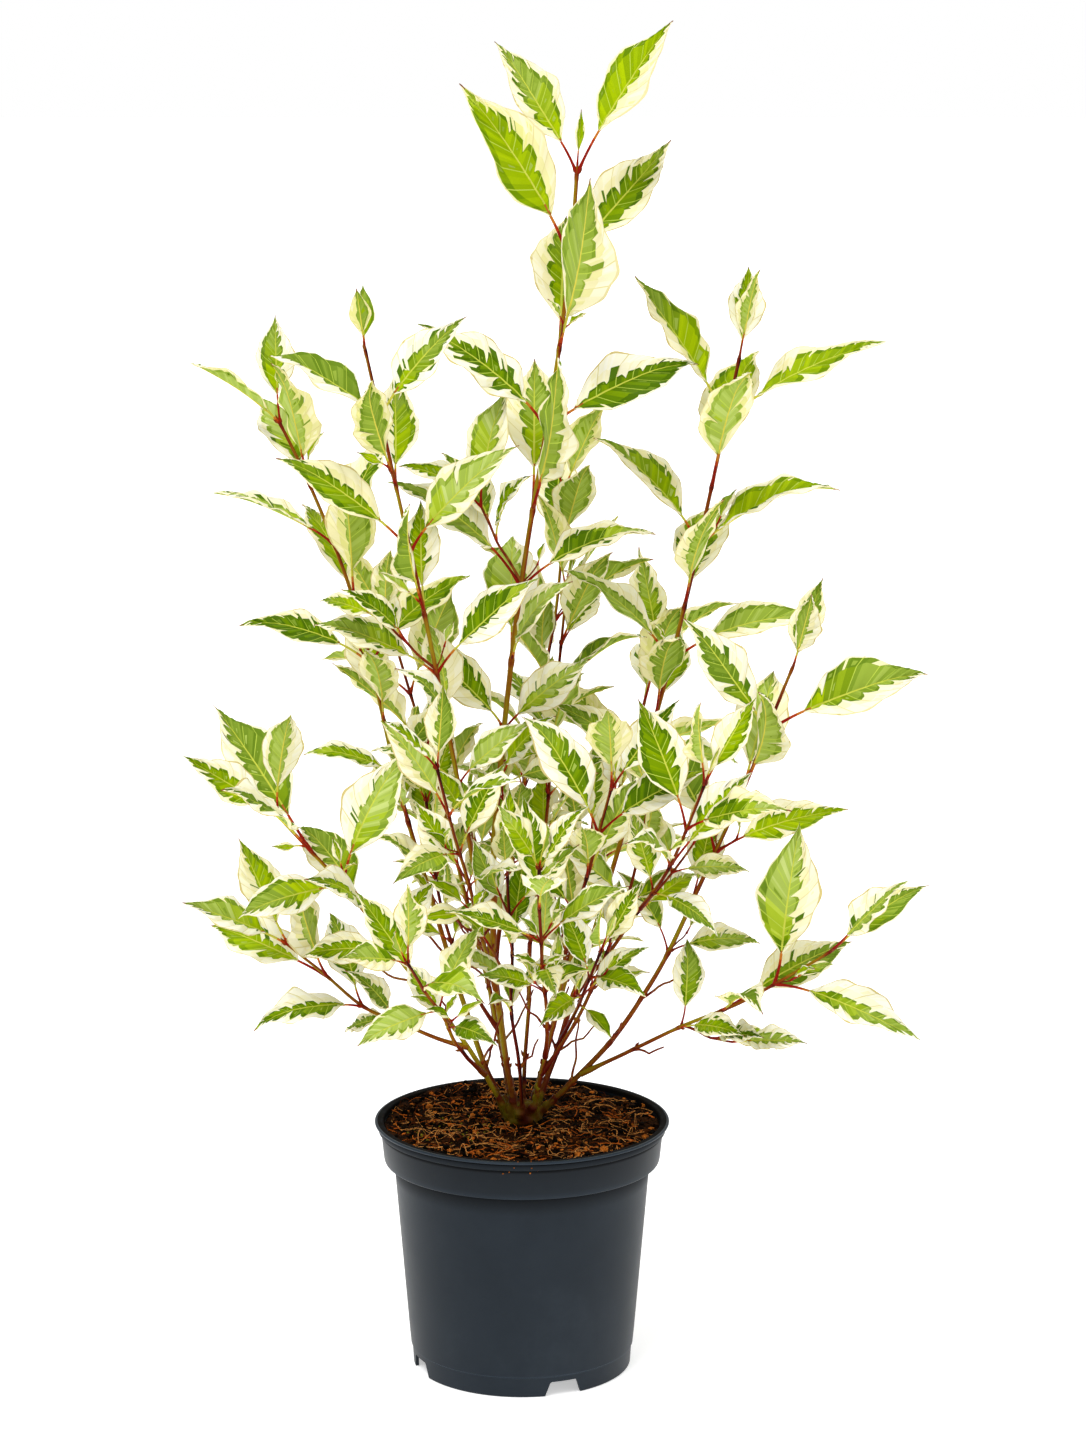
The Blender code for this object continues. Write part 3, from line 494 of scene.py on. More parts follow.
class Path:
    """A smooth line in space that knows its length, its direction and a frame without twist."""

    def __init__(self, points):
        self.points = points
        self.marks = [0.0]
        for a, b in zip(points, points[1:]):
            self.marks.append(self.marks[-1] + (b - a).length)
        self.length = self.marks[-1]
        steps = [(b - a).normalized() for a, b in zip(points, points[1:])]
        middle = [(a + b).normalized() for a, b in zip(steps, steps[1:])]
        self.tangents = [steps[0], *middle, steps[-1]]
        side = Vector((0.0, 1.0, 0.0)).cross(self.tangents[0]).normalized()
        self.sides = [side]
        for a, b in zip(self.tangents, self.tangents[1:]):
            side = a.rotation_difference(b) @ side
            side = (side - b * side.dot(b)).normalized()
            self.sides.append(side)

    def at(self, distance):
        """(point, tangent, side) at a distance along the line."""
        last = len(self.points) - 2
        i = next((k for k in range(last) if self.marks[k + 1] >= distance), last)
        share = (distance - self.marks[i]) / (self.marks[i + 1] - self.marks[i])
        point = self.points[i].lerp(self.points[i + 1], share)
        tangent = self.tangents[i].lerp(self.tangents[i + 1], share).normalized()
        side = self.sides[i].lerp(self.sides[i + 1], share)
        return point, tangent, (side - tangent * side.dot(tangent)).normalized()


def bezier_points(start, start_way, end, end_way, wander, rng):
    """A cubic curve between two points that also wanders a little off its way."""
    handle = HANDLE * (end - start).length
    first = start + start_way * handle
    second = end - end_way * handle
    across = start_way.cross(polar(1.0, rng.uniform(0, 360), 0.3)).normalized()
    phase = rng.uniform(0, math.tau)
    points = []
    for i in range(PATH_STEPS + 1):
        t = i / PATH_STEPS
        u = 1.0 - t
        point = start * u**3 + first * (3 * u * u * t) + second * (3 * u * t * t) + end * t**3
        swing = wander * math.sin(math.pi * t) ** 2 * math.sin(3.0 * math.pi * t + phase)
        points.append(point + across * swing)
    return points


def radius_at(cane, distance):
    base, tip = cane["radii"]
    return base + (tip - base) * (distance / cane["path"].length) ** 0.85


def lay_canes():
    """Each cane with its path, in the order of the list, so that a parent comes before its forks."""
    canes = {}
    for index, row in enumerate(CANES):
        cane = {**USUAL, **row, "index": index}
        rng = random.Random(SEED + index)
        reach, azimuth, height = cane["tip"]
        start_way = leaning(cane["leans"][0], azimuth)
        if "fork" in cane:
            parent = canes[cane["fork"][0]]
            point, tangent, _ = parent["path"].at(cane["fork"][1])
            off = (start_way - tangent * start_way.dot(tangent)).normalized()
            slope = abs(start_way.dot(tangent))
            out = radius_at(parent, cane["fork"][1]) + GAP + cane["radii"][0] * slope
            start = point + off * out
        else:
            start = polar(*cane["foot"], SOIL_TOP + FOOT_RISE)
        end = polar(reach, azimuth, height)
        end_way = leaning(cane["leans"][1], azimuth)
        cane["path"] = Path(bezier_points(start, start_way, end, end_way, WANDER, rng))
        canes[cane["name"]] = cane
    return canes


def blade_half_width(along):
    """The blade's half width as a share of its greatest, which lies at 0.426 of its length."""
    return along * ((1.0 - along) ** 1.35) / 0.2013


def frontness(y):
    """1 in the front half and down to -1 at the back, so that leaves turn their faces outwards."""
    return max(-1.0, min(1.0, 1.0 - 2.0 * y / FACE_TURN))


class Leaf:
    """One leaf on its stalk: where its root is, how it points, and how large it is."""

    def __init__(self, root, tangent, outward, stem_radius, size, spread, droop, fold, roll, stalk):
        self.root = root
        self.size = size
        self.length = BLADE_LENGTH * size
        self.half_width = BLADE_WIDTH * size / 2
        self.droop = droop
        self.fold = math.radians(fold)
        opening = math.radians(spread * (1.0 - ERECT * outward.y**2))
        way = tangent * math.cos(opening) + outward * math.sin(opening)
        self.way = (way + UP * LIFT).normalized()
        self.stalk = stalk
        self.stalk_way = (self.way + tangent * 0.45).normalized()
        self.skin = root + self.stalk_way * stem_radius
        self.base = self.skin + self.stalk_way * (stalk * 0.5) + self.way * (stalk * 0.5)
        facing = UP - Vector((0.0, 1.0, 0.0)) * FACE_FRONT * frontness(root.y)
        up = facing - self.way * facing.dot(self.way)
        up = up.normalized() if up.z > 0.0 else -up.normalized()
        across = self.way.cross(up)
        turn = math.radians(roll)
        self.up = up * math.cos(turn) + across * math.sin(turn)
        self.across = self.way.cross(self.up)

    def spine(self, along):
        """(centre, upward normal) of the blade at this share of its length."""
        bend = max(self.droop, 1e-3)
        angle = bend * along
        forward = self.length * math.sin(angle) / bend
        down = self.length * (1.0 - math.cos(angle)) / bend
        centre = self.base + self.way * forward - self.up * down
        return centre, self.up * math.cos(angle) + self.way * math.sin(angle)

    def section(self, along, grow):
        """(left, bottom, right) of the blade's three-sided section."""
        centre, normal = self.spine(along)
        half = self.half_width * blade_half_width(along) + grow
        flat = self.across * (half * math.cos(self.fold))
        rise = normal * (half * math.sin(self.fold))
        deep = normal * (LEAF_THICKNESS + grow)
        return [centre - flat + rise, centre - deep, centre + flat + rise]

    def stalk_section(self, centre, grow):
        reach = PETIOLE_RADIUS + grow
        flat = self.across * reach
        rise = self.up * (reach / 2)
        return [centre - flat + rise, centre - self.up * reach, centre + flat + rise]

    def rings(self, grow):
        """Sections, grown by this much, from clear of the stem to the last station."""
        start = self.skin.lerp(self.base, 0.35)
        rings = [self.stalk_section(start, grow), self.stalk_section(self.base, grow)]
        rings += [self.section(along, grow) for along in STATIONS]
        return rings

    def tip(self):
        return self.spine(1.0)[0]


def ring_mesh(rings, tip=None):
    """(vertices, faces) of a closed body through rings of as many points, ending at a point or a cap."""
    points = [p for ring in rings for p in ring]
    sides = len(rings[0])
    faces = [tuple(range(sides))]
    for i in range(len(rings) - 1):
        for k in range(sides):
            a, b = i * sides + k, i * sides + (k + 1) % sides
            faces.append((b, a, a + sides, b + sides))
    last = (len(rings) - 1) * sides
    if tip is None:
        faces.append(tuple(range(last + sides - 1, last - 1, -1)))
    else:
        points.append(tip)
        end = len(points) - 1
        faces += [(last + (k + 1) % sides, last + k, end) for k in range(sides)]
    return points, faces


def ring_around(point, tangent, side, radius, sides):
    """The points of a round section of a path."""
    other = tangent.cross(side)
    turns = [-math.tau * k / sides for k in range(sides)]
    return [point + (side * math.cos(t) + other * math.sin(t)) * radius for t in turns]


def tube_rings(path, start, end, radius_of, sides, spacing):
    """Round sections along a path between two distances, no further apart than the spacing."""
    count = max(1, math.ceil((end - start) / spacing))
    stops = [start + (end - start) * i / count for i in range(count + 1)]
    return [ring_around(*path.at(stop), radius_of(stop), sides) for stop in stops]


def round_rings(points, radii, sides):
    """Round sections through points, each with its own radius."""
    path = Path(points)
    sections = zip(path.points, path.tangents, path.sides, radii)
    return [ring_around(*section, sides) for section in sections]


def outward_of(node, azimuth):
    """The direction across a path at this turn from its side; a node is (point, tangent, side)."""
    _, tangent, side = node
    turn = math.radians(azimuth)
    return side * math.cos(turn) + tangent.cross(side) * math.sin(turn)


class Space:
    """What stands in the crown already, kept as small trees of triangles with bounding spheres."""

    def __init__(self):
        self.things = []

    def sphere(self, points):
        centre = sum(points, Vector()) / len(points)
        return centre, max((p - centre).length for p in points)

    def add(self, owner, points, faces):
        self.things.append((owner, *self.sphere(points), BVHTree.FromPolygons(points, faces)))

    def is_free(self, owners, points, faces):
        """Whether this mesh touches nothing except what belongs to these owners."""
        centre, radius = self.sphere(points)
        tree = None
        for owner, other, reach, branches in self.things:
            if owner in owners or (other - centre).length > radius + reach:
                continue
            tree = tree or BVHTree.FromPolygons(points, faces)
            if tree.overlap(branches):
                return False
        return True


def above_floor(points):
    """Leaves stay off the soil, and those at the front stand a little higher."""
    return all(p.z > LOWEST_LEAF + FRONT_RISE * max(0.0, -p.y) for p in points)


def try_leaf(space, owner, node, azimuth, size, spread, droop, stem_radius, rng):
    """A leaf at a node, turned and tilted a little further at each try, or None if it never fits."""
    point, tangent, _ = node
    droop = max(0.05, droop + rng.uniform(-DROOP_SWING, DROOP_SWING))
    fold = rng.uniform(*FOLD)
    roll = rng.uniform(-ROLL, ROLL)
    stalk = PETIOLE_LENGTH * size * rng.uniform(*STALK_STRETCH)
    tilt = rng.uniform(-TILT, TILT)
    for attempt in range(TRIES):
        reach = attempt * TRY_REACH
        outward = outward_of(node, azimuth + rng.uniform(-TRY_TURN, TRY_TURN) * (1 + reach))
        opening = spread + tilt + rng.uniform(-TRY_TILT, TRY_TILT) * reach
        rolled = roll + rng.uniform(-TRY_ROLL, TRY_ROLL) * reach
        grown = size * (1.0 - TRY_SHRINK * attempt)
        leaf = Leaf(point, tangent, outward, stem_radius, grown, opening, droop, fold, rolled, stalk)
        points, faces = ring_mesh(leaf.rings(CLEARANCE), leaf.tip())
        if above_floor(points) and space.is_free((owner,), points, faces):
            space.add((owner, "leaf"), points, faces)
            return leaf
    return None


def grow_pair(space, owner, path, distance, azimuth, stem_radius, rng, look, shift_way=1.0):
    """The leaves of a pair that find room; look draws the size, spread and droop of one."""
    leaves = []
    for half, shift in PAIR:
        node = path.at(distance + shift_way * shift)
        leaf = try_leaf(space, owner, node, azimuth + half, *look(), stem_radius, rng)
        if leaf:
            leaves.append(leaf)
    return leaves


def grow_twig(space, cane, node, azimuth, rng):
    """A short side shoot with a pair of small leaves on it and a pair at its tip."""
    point, tangent, _ = node
    outward = outward_of(node, azimuth)
    lean = math.radians(rng.uniform(*TWIG_LEAN))
    way = (tangent * math.cos(lean) + outward * math.sin(lean) + UP * 0.2).normalized()
    length = rng.uniform(*TWIG_LENGTH)
    end = point + way * length + UP * length * 0.12
    end_way = (way + UP * 0.35).normalized()
    path = Path(bezier_points(point, way, end, end_way, WANDER * 0.3, rng))
    name = (cane["name"], "twig", round(azimuth), round(point.z, 4))
    clear = tube_rings(path, 0.008, path.length, lambda d: TWIG_RADIUS + CLEARANCE, 3, 0.02)
    points, faces = ring_mesh(clear)
    if not (above_floor(points) and space.is_free((cane["name"],), points, faces)):
        return None
    space.add(name, points, faces)
    leaves = []
    size = cane["size"] * TWIG_LEAF_SIZE
    for share, turn, spread in TWIG_PAIRS:
        look = lambda: (size * rng.uniform(*TWIG_LEAF_SIZES), spread, TWIG_DROOP)
        distance = path.length * share
        leaves += grow_pair(space, name, path, distance, azimuth + turn, TWIG_RADIUS, rng, look)
    return dict(path=path, leaves=leaves)


def node_distances(cane):
    """How far along the cane each pair of leaves stands, a little further apart towards the tip."""
    leafy = cane["path"].length - TIP_BUD - cane["bare"]
    last = cane["pairs"] - 1
    return [cane["bare"] + leafy * (k / last) ** NODE_STRETCH for k in range(cane["pairs"])]


def grow_masses(canes):
    """The leafy length of each cane, shared out into masses that each hold their own pairs."""
    space = Space()
    for cane in canes.values():
        radius_of = lambda d, cane=cane: radius_at(cane, d) + CLEARANCE
        rings = tube_rings(cane["path"], 0.0, cane["path"].length, radius_of, 5, 0.02)
        space.add(cane["name"], *ring_mesh(rings))
    masses = []
    for cane in canes.values():
        share = cane["pairs"] / cane["masses"]
        for number in range(cane["masses"]):
            own = range(round(number * share), round((number + 1) * share))
            name = cane["name"] + ("_foliage" if cane["masses"] == 1 else f"_foliage_{number + 1}")
            masses.append(dict(name=name, cane=cane, nodes=own, leaves=[], twigs=[]))
    for mass in reversed(masses):
        grow_mass(space, mass)
    return space, masses


def grow_mass(space, mass):
    """Decussate pairs of leaves from the top of the mass down, and side twigs from its lower nodes."""
    cane = mass["cane"]
    path = cane["path"]
    stops = node_distances(cane)
    for k in reversed(mass["nodes"]):
        rng = random.Random(SEED * 31 + cane["index"] * 97 + k)
        share = k / (cane["pairs"] - 1)
        azimuth = pair_azimuth(cane, k)
        grown = cane.get("top", TOP_SIZE) if share == 1.0 else between(SIZE_ALONG, share)
        spread = between(SPREAD_ALONG, share)
        look = lambda: (cane["size"] * grown * rng.uniform(*SIZES),
                        spread + rng.uniform(-SPREAD_SWING, SPREAD_SWING),
                        between(DROOP_ALONG, share))
        stem = radius_at(cane, stops[k])
        mass["leaves"] += grow_pair(space, cane["name"], path, stops[k], azimuth, stem, rng, look)
        if share < TWIGS_BELOW and rng.random() < TWIG_CHANCE:
            above = path.at(stops[k] + TWIG_RISE)
            twig = grow_twig(space, cane, above, azimuth + rng.choice((0.0, 180.0)) + TWIG_TURN, rng)
            if twig:
                mass["twigs"].append(twig)


def grow_tip_leaves(space, masses):
    """A pair of narrow young leaves at the end of each cane and each side twig."""
    grown = []
    for mass in masses:
        cane = mass["cane"]
        rng = random.Random(SEED * 5 + cane["index"] * 13 + mass["nodes"][0])
        look = lambda: (rng.uniform(*TIP_LEAF_SIZE), TIP_LEAF_SPREAD, TIP_LEAF_DROOP)
        ends = [(twig["path"], TWIG_RADIUS * 0.7, mass["name"]) for twig in mass["twigs"]]
        if mass["nodes"][-1] == cane["pairs"] - 1:
            ends.append((cane["path"], cane["radii"][1] * 0.7, cane["name"]))
        for path, radius, owner in ends:
            turn = rng.uniform(0.0, 90.0)
            end = path.length - 0.0004
            grown += grow_pair(space, owner, path, end, turn, radius, rng, look, shift_way=-1.0)
    for leaf in grown:
        leaf.half_width *= TIP_LEAF_SLIM
        leaf.fold = math.radians(TIP_LEAF_FOLD)
    return grown


def grow_sprigs(space, masses):
    """Short shoots in some of the axils, each with a pair of very small leaves."""
    sprigs = []
    for mass in masses:
        cane = mass["cane"]
        stops = node_distances(cane)
        for k in mass["nodes"]:
            rng = random.Random(SEED * 17 + cane["index"] * 53 + k)
            for half, shift in PAIR:
                if k < cane["pairs"] - 1 and rng.random() < SPRIG_CHANCE:
                    node = cane["path"].at(stops[k] + SPRIG_RISE + shift)
                    sprigs.append(grow_sprig(space, cane, node, pair_azimuth(cane, k) + half, rng))
    return [sprig for sprig in sprigs if sprig["leaves"]]


def grow_sprig(space, cane, node, azimuth, rng):
    point, tangent, _ = node
    outward = outward_of(node, azimuth + rng.uniform(-SPRIG_TURN, SPRIG_TURN))
    way = (tangent + outward * rng.uniform(*SPRIG_OUT) + UP * 0.2).normalized()
    length = rng.uniform(*SPRIG_LENGTH)
    end_way = (way + UP * 0.3).normalized()
    path = Path(bezier_points(point, way, point + way * length, end_way, 0.0003, rng))
    look = lambda: (rng.uniform(*SPRIG_LEAF_SIZE), SPRIG_LEAF_SPREAD, SPRIG_LEAF_DROOP)
    end = path.length - 0.0005
    name, turn = cane["name"], azimuth + 90.0
    leaves = grow_pair(space, name, path, end, turn, SPRIG_RADIUS, rng, look, shift_way=-1.0)
    for leaf in leaves:
        leaf.half_width *= SPRIG_LEAF_SLIM
    return dict(path=path, leaves=leaves)


def pair_azimuth(cane, k):
    """The turn of the pair of leaves at a node, counted from the cane's own side."""
    from_top = cane["pairs"] - 1 - k
    return cane["turns"][from_top] if "turns" in cane else cane["turn"] + 90.0 * from_top


def old_nodes(cane):
    """How far along the cane each leafless node of its bare length stands."""
    first = OLD_NODE_FIRST + OLD_NODE_STAGGER * (cane["index"] % 4)
    return [float(stop) for stop in np.arange(first, cane["bare"] - 0.015, OLD_NODE_SPACING)]


def grow_snags(space, canes):
    """Thin leafless shoots from some of the old nodes, clear of the leaves."""
    snags = []
    for cane in canes.values():
        rng = random.Random(SEED * 23 + cane["index"])
        for number, stop in enumerate(old_nodes(cane)):
            for half, shift in PAIR:
                if rng.random() > SNAG_CHANCE:
                    continue
                path = snag_path(cane["path"].at(stop + shift), 90.0 * number + half, rng)
                rings = tube_rings(path, 0.005, path.length, lambda d: SNAG_RADIUS * 1.5, 3, 0.008)
                points, faces = ring_mesh(rings)
                if space.is_free((cane["name"],), points, faces):
                    space.add((cane["name"], "snag", number), points, faces)
                    snags.append(path)
    return snags


def snag_path(node, azimuth, rng):
    point, tangent, _ = node
    outward = outward_of(node, azimuth + rng.uniform(-SNAG_TURN, SNAG_TURN))
    lean = math.radians(rng.uniform(*SNAG_LEAN))
    way = (tangent * math.cos(lean) + outward * math.sin(lean)).normalized()
    length = rng.uniform(*SNAG_LENGTH)
    end = point + way * length + UP * length * 0.25
    return Path(bezier_points(point, way, end, (way + UP * 0.8).normalized(), SNAG_WANDER, rng))


def linear(value):
    """A display value from 0 to 255 in linear light."""
    share = value / 255.0
    return share / 12.92 if share <= 0.04045 else ((share + 0.055) / 1.055) ** 2.4


def linear_color(color):
    return (*(linear(value) for value in color), 1.0)


def plain_material(name, color, roughness):
    nodes = Nodes(name, LEAF_SHEEN, roughness)
    nodes.shader.inputs["Base Color"].default_value = linear_color(color)
    nodes.material.diffuse_color = linear_color(color)
    return nodes.material


def new_mesh(name, points, faces):
    mesh = bpy.data.meshes.new(name)
    mesh.from_pydata(points, [], faces)
    return mesh


def in_scene(name, data):
    """A new object of this mesh, lamp or camera, in the scene."""
    obj = bpy.data.objects.new(name, data)
    bpy.context.scene.collection.objects.link(obj)
    return obj


class Palette:
    """Plain materials in a fixed order, looked up by a tint's name and its number in that tint.

    A tint has some steps from each of its colours to the next.
    """

    def __init__(self):
        self.materials = []
        self.first = {}
        self.steps = {}
        self.last = {}
        for name, steps, colors in LEAF_TINTS:
            self.first[name] = len(self.materials)
            self.steps[name] = steps
            self.last[name] = (len(colors) - 1) * steps
            for number in range(self.last[name] + 1):
                at = number / steps
                color = [np.interp(at, range(len(colors)), part) for part in zip(*colors)]
                shade = f"leaf {name} {number + 1}"
                self.materials.append(plain_material(shade, color, LEAF_ROUGHNESS))

    def slots(self, name, numbers):
        """The slots of these numbers, real numbers too, each at the nearest step of the tint."""
        steps = np.rint(np.multiply(numbers, self.steps[name]))
        return np.clip(steps, 0, self.last[name]).astype(int) + self.first[name]


class Pile:
    """Points, faces and slots of many small shapes that become one mesh."""

    def __init__(self):
        self.points = []
        self.faces = []
        self.slots = []
        self.values = {}
        self.count = 0
        self.triangles = 0

    def add(self, points, faces, slots=0, **values):
        """A shape with one slot for all its faces or one for each, and any values of its points."""
        points = np.asarray([tuple(p) for p in points] if isinstance(points, list) else points, float)
        self.points.append(points)
        self.faces += [tuple(i + self.count for i in face) for face in faces]
        self.slots.append(np.broadcast_to(slots, len(faces)))
        for name, value in values.items():
            self.values.setdefault(name, []).append(np.asarray(value, float))
        self.count += len(points)
        self.triangles += sum(len(face) - 2 for face in faces)

    def build(self, name, materials, sharp=50.0):
        mesh = new_mesh(name, np.concatenate(self.points).tolist(), self.faces)
        for material in materials:
            mesh.materials.append(material)
        mesh.polygons.foreach_set("material_index", np.concatenate(self.slots).astype(np.int32))
        for key, parts in self.values.items():
            whole = np.concatenate(parts)
            kind = "FLOAT_VECTOR" if whole.ndim == 2 else "FLOAT"
            attribute = mesh.attributes.new(key, kind, "POINT")
            attribute.data.foreach_set("vector" if whole.ndim == 2 else "value", whole.ravel())
        mesh.shade_smooth()
        mesh.set_sharp_from_angle(angle=math.radians(sharp))
        return in_scene(name, mesh)


def cross_lines(leaf, rng):
    """The cross lines of a blade from base to tip, one row each.

    A row is the share along the rib where the line starts, the lobe of green it belongs to, its reach
    in that lobe from 0 in a notch to 1, its place in the quilting from 0 on a vein to 1 between two,
    and whether a vein fills the strip after it.
    """
    small = leaf.size < SMALL_LEAF
    veins, tip_lobes = (SMALL_VEINS, SMALL_LOBES) if small else (VEIN_COUNT, TIP_LOBES)
    half_vein = 0.0 if small else VEIN_WIDTH / BLADE_LENGTH / 2
    span = VEIN_LAST - VEIN_FIRST
    shares = [(k / (veins - 1)) ** 0.95 for k in range(veins)]
    middles = [VEIN_FIRST + span * share + rng.uniform(-0.012, 0.012) for share in shares]
    step = (1.0 - VEIN_LAST) / (tip_lobes + 1)
    middles += [VEIN_LAST + step * (k + 1) * 0.98 for k in range(tip_lobes)]
    rows = [(0.0, 0, 0.55, 0.0, 0), (middles[0] * 0.5, 0, 0.85, 0.4, 0)]
    for k, middle in enumerate(middles):
        vein = k < veins and not small
        rows.append((middle - half_vein * vein, k, 1.0, 0.0 if vein else 0.3, int(vein)))
        if vein:
            rows.append((middle + half_vein, k, 1.0, 0.0, 0))
        start = rows[-1][0]
        if k + 1 == len(middles):
            rows.append(((start + 1.0) / 2, k, 0.8, 0.3, 0))
            continue
        gap = middles[k + 1] - half_vein - start
        notch = rng.uniform(0.50, 0.62)
        for place, reach, bulge in LOBE_SHAPE if not small else LOBE_SHAPE[1::2]:
            lobe = k if place <= 0 else k + 1
            rows.append((start + gap * (notch + place), lobe, reach * rng.uniform(0.90, 1.05), bulge, 0))
    rows.append((1.0, len(middles) - 1, 1.0, 0.0, 0))
    return [np.array(column) for column in zip(*rows)]


def green_reach(along, lobes, reach, mean, tip_mean, rng):
    """The share of the half width that is green where each cross line of one side runs."""
    count = lobes.max() + 1
    ragged = min(1.0, max(0.0, (RAGGED_UNDER - mean) / 0.35))
    swing = LOBE_SWING * (0.3 + 0.7 * ragged)
    heights = np.array([1.0 + rng.uniform(-swing, swing) for _ in range(count)])
    notches = np.array([
        rng.uniform(*DEEP_NOTCH_REACH) if rng.random() < DEEP_NOTCH_CHANCE * (0.15 + ragged)
        else rng.uniform(*NOTCH_REACH) - RAGGED_NOTCH * ragged
        for _ in range(count)
    ])
    base = np.interp(along, *GREEN_ALONG) * mean
    tip = np.interp(along, *GREEN_TIP_ALONG) * tip_mean
    lift = notches[lobes] + (1.0 - notches[lobes]) * reach
    return np.clip((base + tip) * heights[lobes] * lift, *GREEN_LIMITS)


def side_rows(rib, green):
    """Shares of the half width of one side's rows from the rib to the margin, for each cross line."""
    green = np.maximum(green, rib + 0.03)
    left = 1.0 - green
    inner = rib + (green - rib) * GREEN_INNER
    outer = [green + left * CREAM_INNER, green + left * MARGIN_FROM, np.ones_like(green)]
    return np.array([rib, inner, green, *outer])


def green_slots(palette, tone, sage_tone, greyness):
    """Slots of green cells, each bright, halfway or sage, in its own tone; upper-face sage is partly the
    leaf's grey-green and partly painted sheen.
    """
    sage, halfway = palette.slots("sage", sage_tone), palette.slots("halfway", sage_tone)
    greyer = np.where(greyness > SAGE_BLEND, sage, halfway)
    return np.where(greyness < -SAGE_BLEND, palette.slots("bright", tone), greyer)


def strip_slots(place, cells, wide_cream, palette, random_of, looks):
    """Slots of the upper and lower cells of one strip, from place 0 on the rib to 5 at the edge."""
    middle, patch, relief, is_vein = cells
    count = len(middle)
    if place == 0:
        foot = middle < looks["red_foot"]
        return palette.slots("rib", np.where(foot, 2, 0)), palette.slots("rib", np.where(foot, 2, 1))
    if place == 5:
        edge = palette.slots("edge", looks["edge"] + random_of.uniform(-0.7, 0.7, count))
        return edge, edge
    if place < 3:
        # relief carries the painted shade of the quilting
        common = patch + relief + FRINGE_TONE * (place - 1)
        tone, sage_tone = looks["tone"] + 1.6 * middle + common, looks["sage_tone"] + 0.8 * common
        greyness = middle + 0.10 * patch + 0.12 * (place - 1) - looks["sage_from"]
        upper = green_slots(palette, tone, sage_tone, greyness)
        lower = palette.slots("sage", looks["under"] + 0.9 * middle + 0.5 * common)
    else:
        tone = looks["cream"] + (5 - place) * 0.75 + random_of.uniform(-0.3, 0.3, count)
        upper, lower = palette.slots("cream", tone), palette.slots("cream", tone + 0.9)
    upper[is_vein] = lower[is_vein] = palette.slots("vein", int(place > 2))
    if place == 2:
        flecks = (random_of.random(count) < FLECK_CHANCE * looks["speckle"]) & ~is_vein
        upper[flecks] = palette.slots("cream", 2)
    if place == 3:
        islets = (random_of.random(count) < ISLET_CHANCE * looks["speckle"]) & wide_cream
        upper[islets] = palette.slots("islet", 0)
        lower[islets] = palette.slots("sage", 3)
    return upper, lower


def paint_blade(along, lobes, bulge, is_vein, wide_cream, palette, rng, looks):
    """Slots of the upper and lower faces, twelve strips across by one for each cell along."""
    middle = (along[1:] + along[:-1]) / 2
    # Painted shade and light of the quilting: darker cells at the veins, lighter ones between
    relief = QUILT_PAINTED_SHADE * (0.6 - (bulge[1:] + bulge[:-1]) / 2)
    upper, lower = np.zeros((2, 12, len(middle)), int)
    random_of = np.random.default_rng(rng.randrange(1 << 30))
    for strips, wide in zip(((5, 4, 3, 2, 1, 0), (6, 7, 8, 9, 10, 11)), wide_cream):
        patch = random_of.uniform(-0.5, 0.5, lobes.max() + 1)[lobes[:-1]]
        cells = (middle, patch, relief, is_vein)
        for place, strip in enumerate(strips):
            upper[strip], lower[strip] = strip_slots(place, cells, wide, palette, random_of, looks)
    if looks["brown_tip"]:
        upper[:, -1] = lower[:, -1] = palette.slots("tip", 0)
    return upper, lower


def blade_mesh(leaf, palette, rng):
    """(points, quads, slots) of a blade: thirteen rows by its cross lines, in two layers."""
    along, lobes, reach, bulge, vein = cross_lines(leaf, rng)
    mean = rng.uniform(*GREEN_MEAN)
    uneven = rng.uniform(-GREEN_UNEVEN, GREEN_UNEVEN)
    tip_mean = rng.uniform(*GREEN_TIP_MEAN) if rng.random() < GREEN_TIP_CHANCE else mean * 0.6
    greens = [green_reach(along, lobes, reach, mean + d, tip_mean, rng) for d in (-uneven, uneven)]
    scale = min(1.0, 0.35 + leaf.size * 0.65)
    half = leaf.half_width * blade_half_width(along) + 0.0003
    rib = np.minimum(0.4, np.interp(along, (0, 1), RIB_HALF_WIDTH) * scale / half)
    left, right = (side_rows(rib, green) for green in greens)
    share = np.concatenate([left[::-1], np.zeros((1, len(along))), right])
    sheet, upward = blade_sheet(leaf, along, bulge, share, scale, rng)
    points, quads = blade_layers(sheet, upward, along, bulge, share, scale)
    looks = leaf_looks(leaf, rng)
    wide = [np.minimum(1 - g[1:], 1 - g[:-1]) > 0.25 for g in greens]
    slots = paint_blade(along, lobes, bulge, vein[:-1].astype(bool), wide, palette, rng, looks)
    return points, quads, np.concatenate([layer.ravel() for layer in slots])


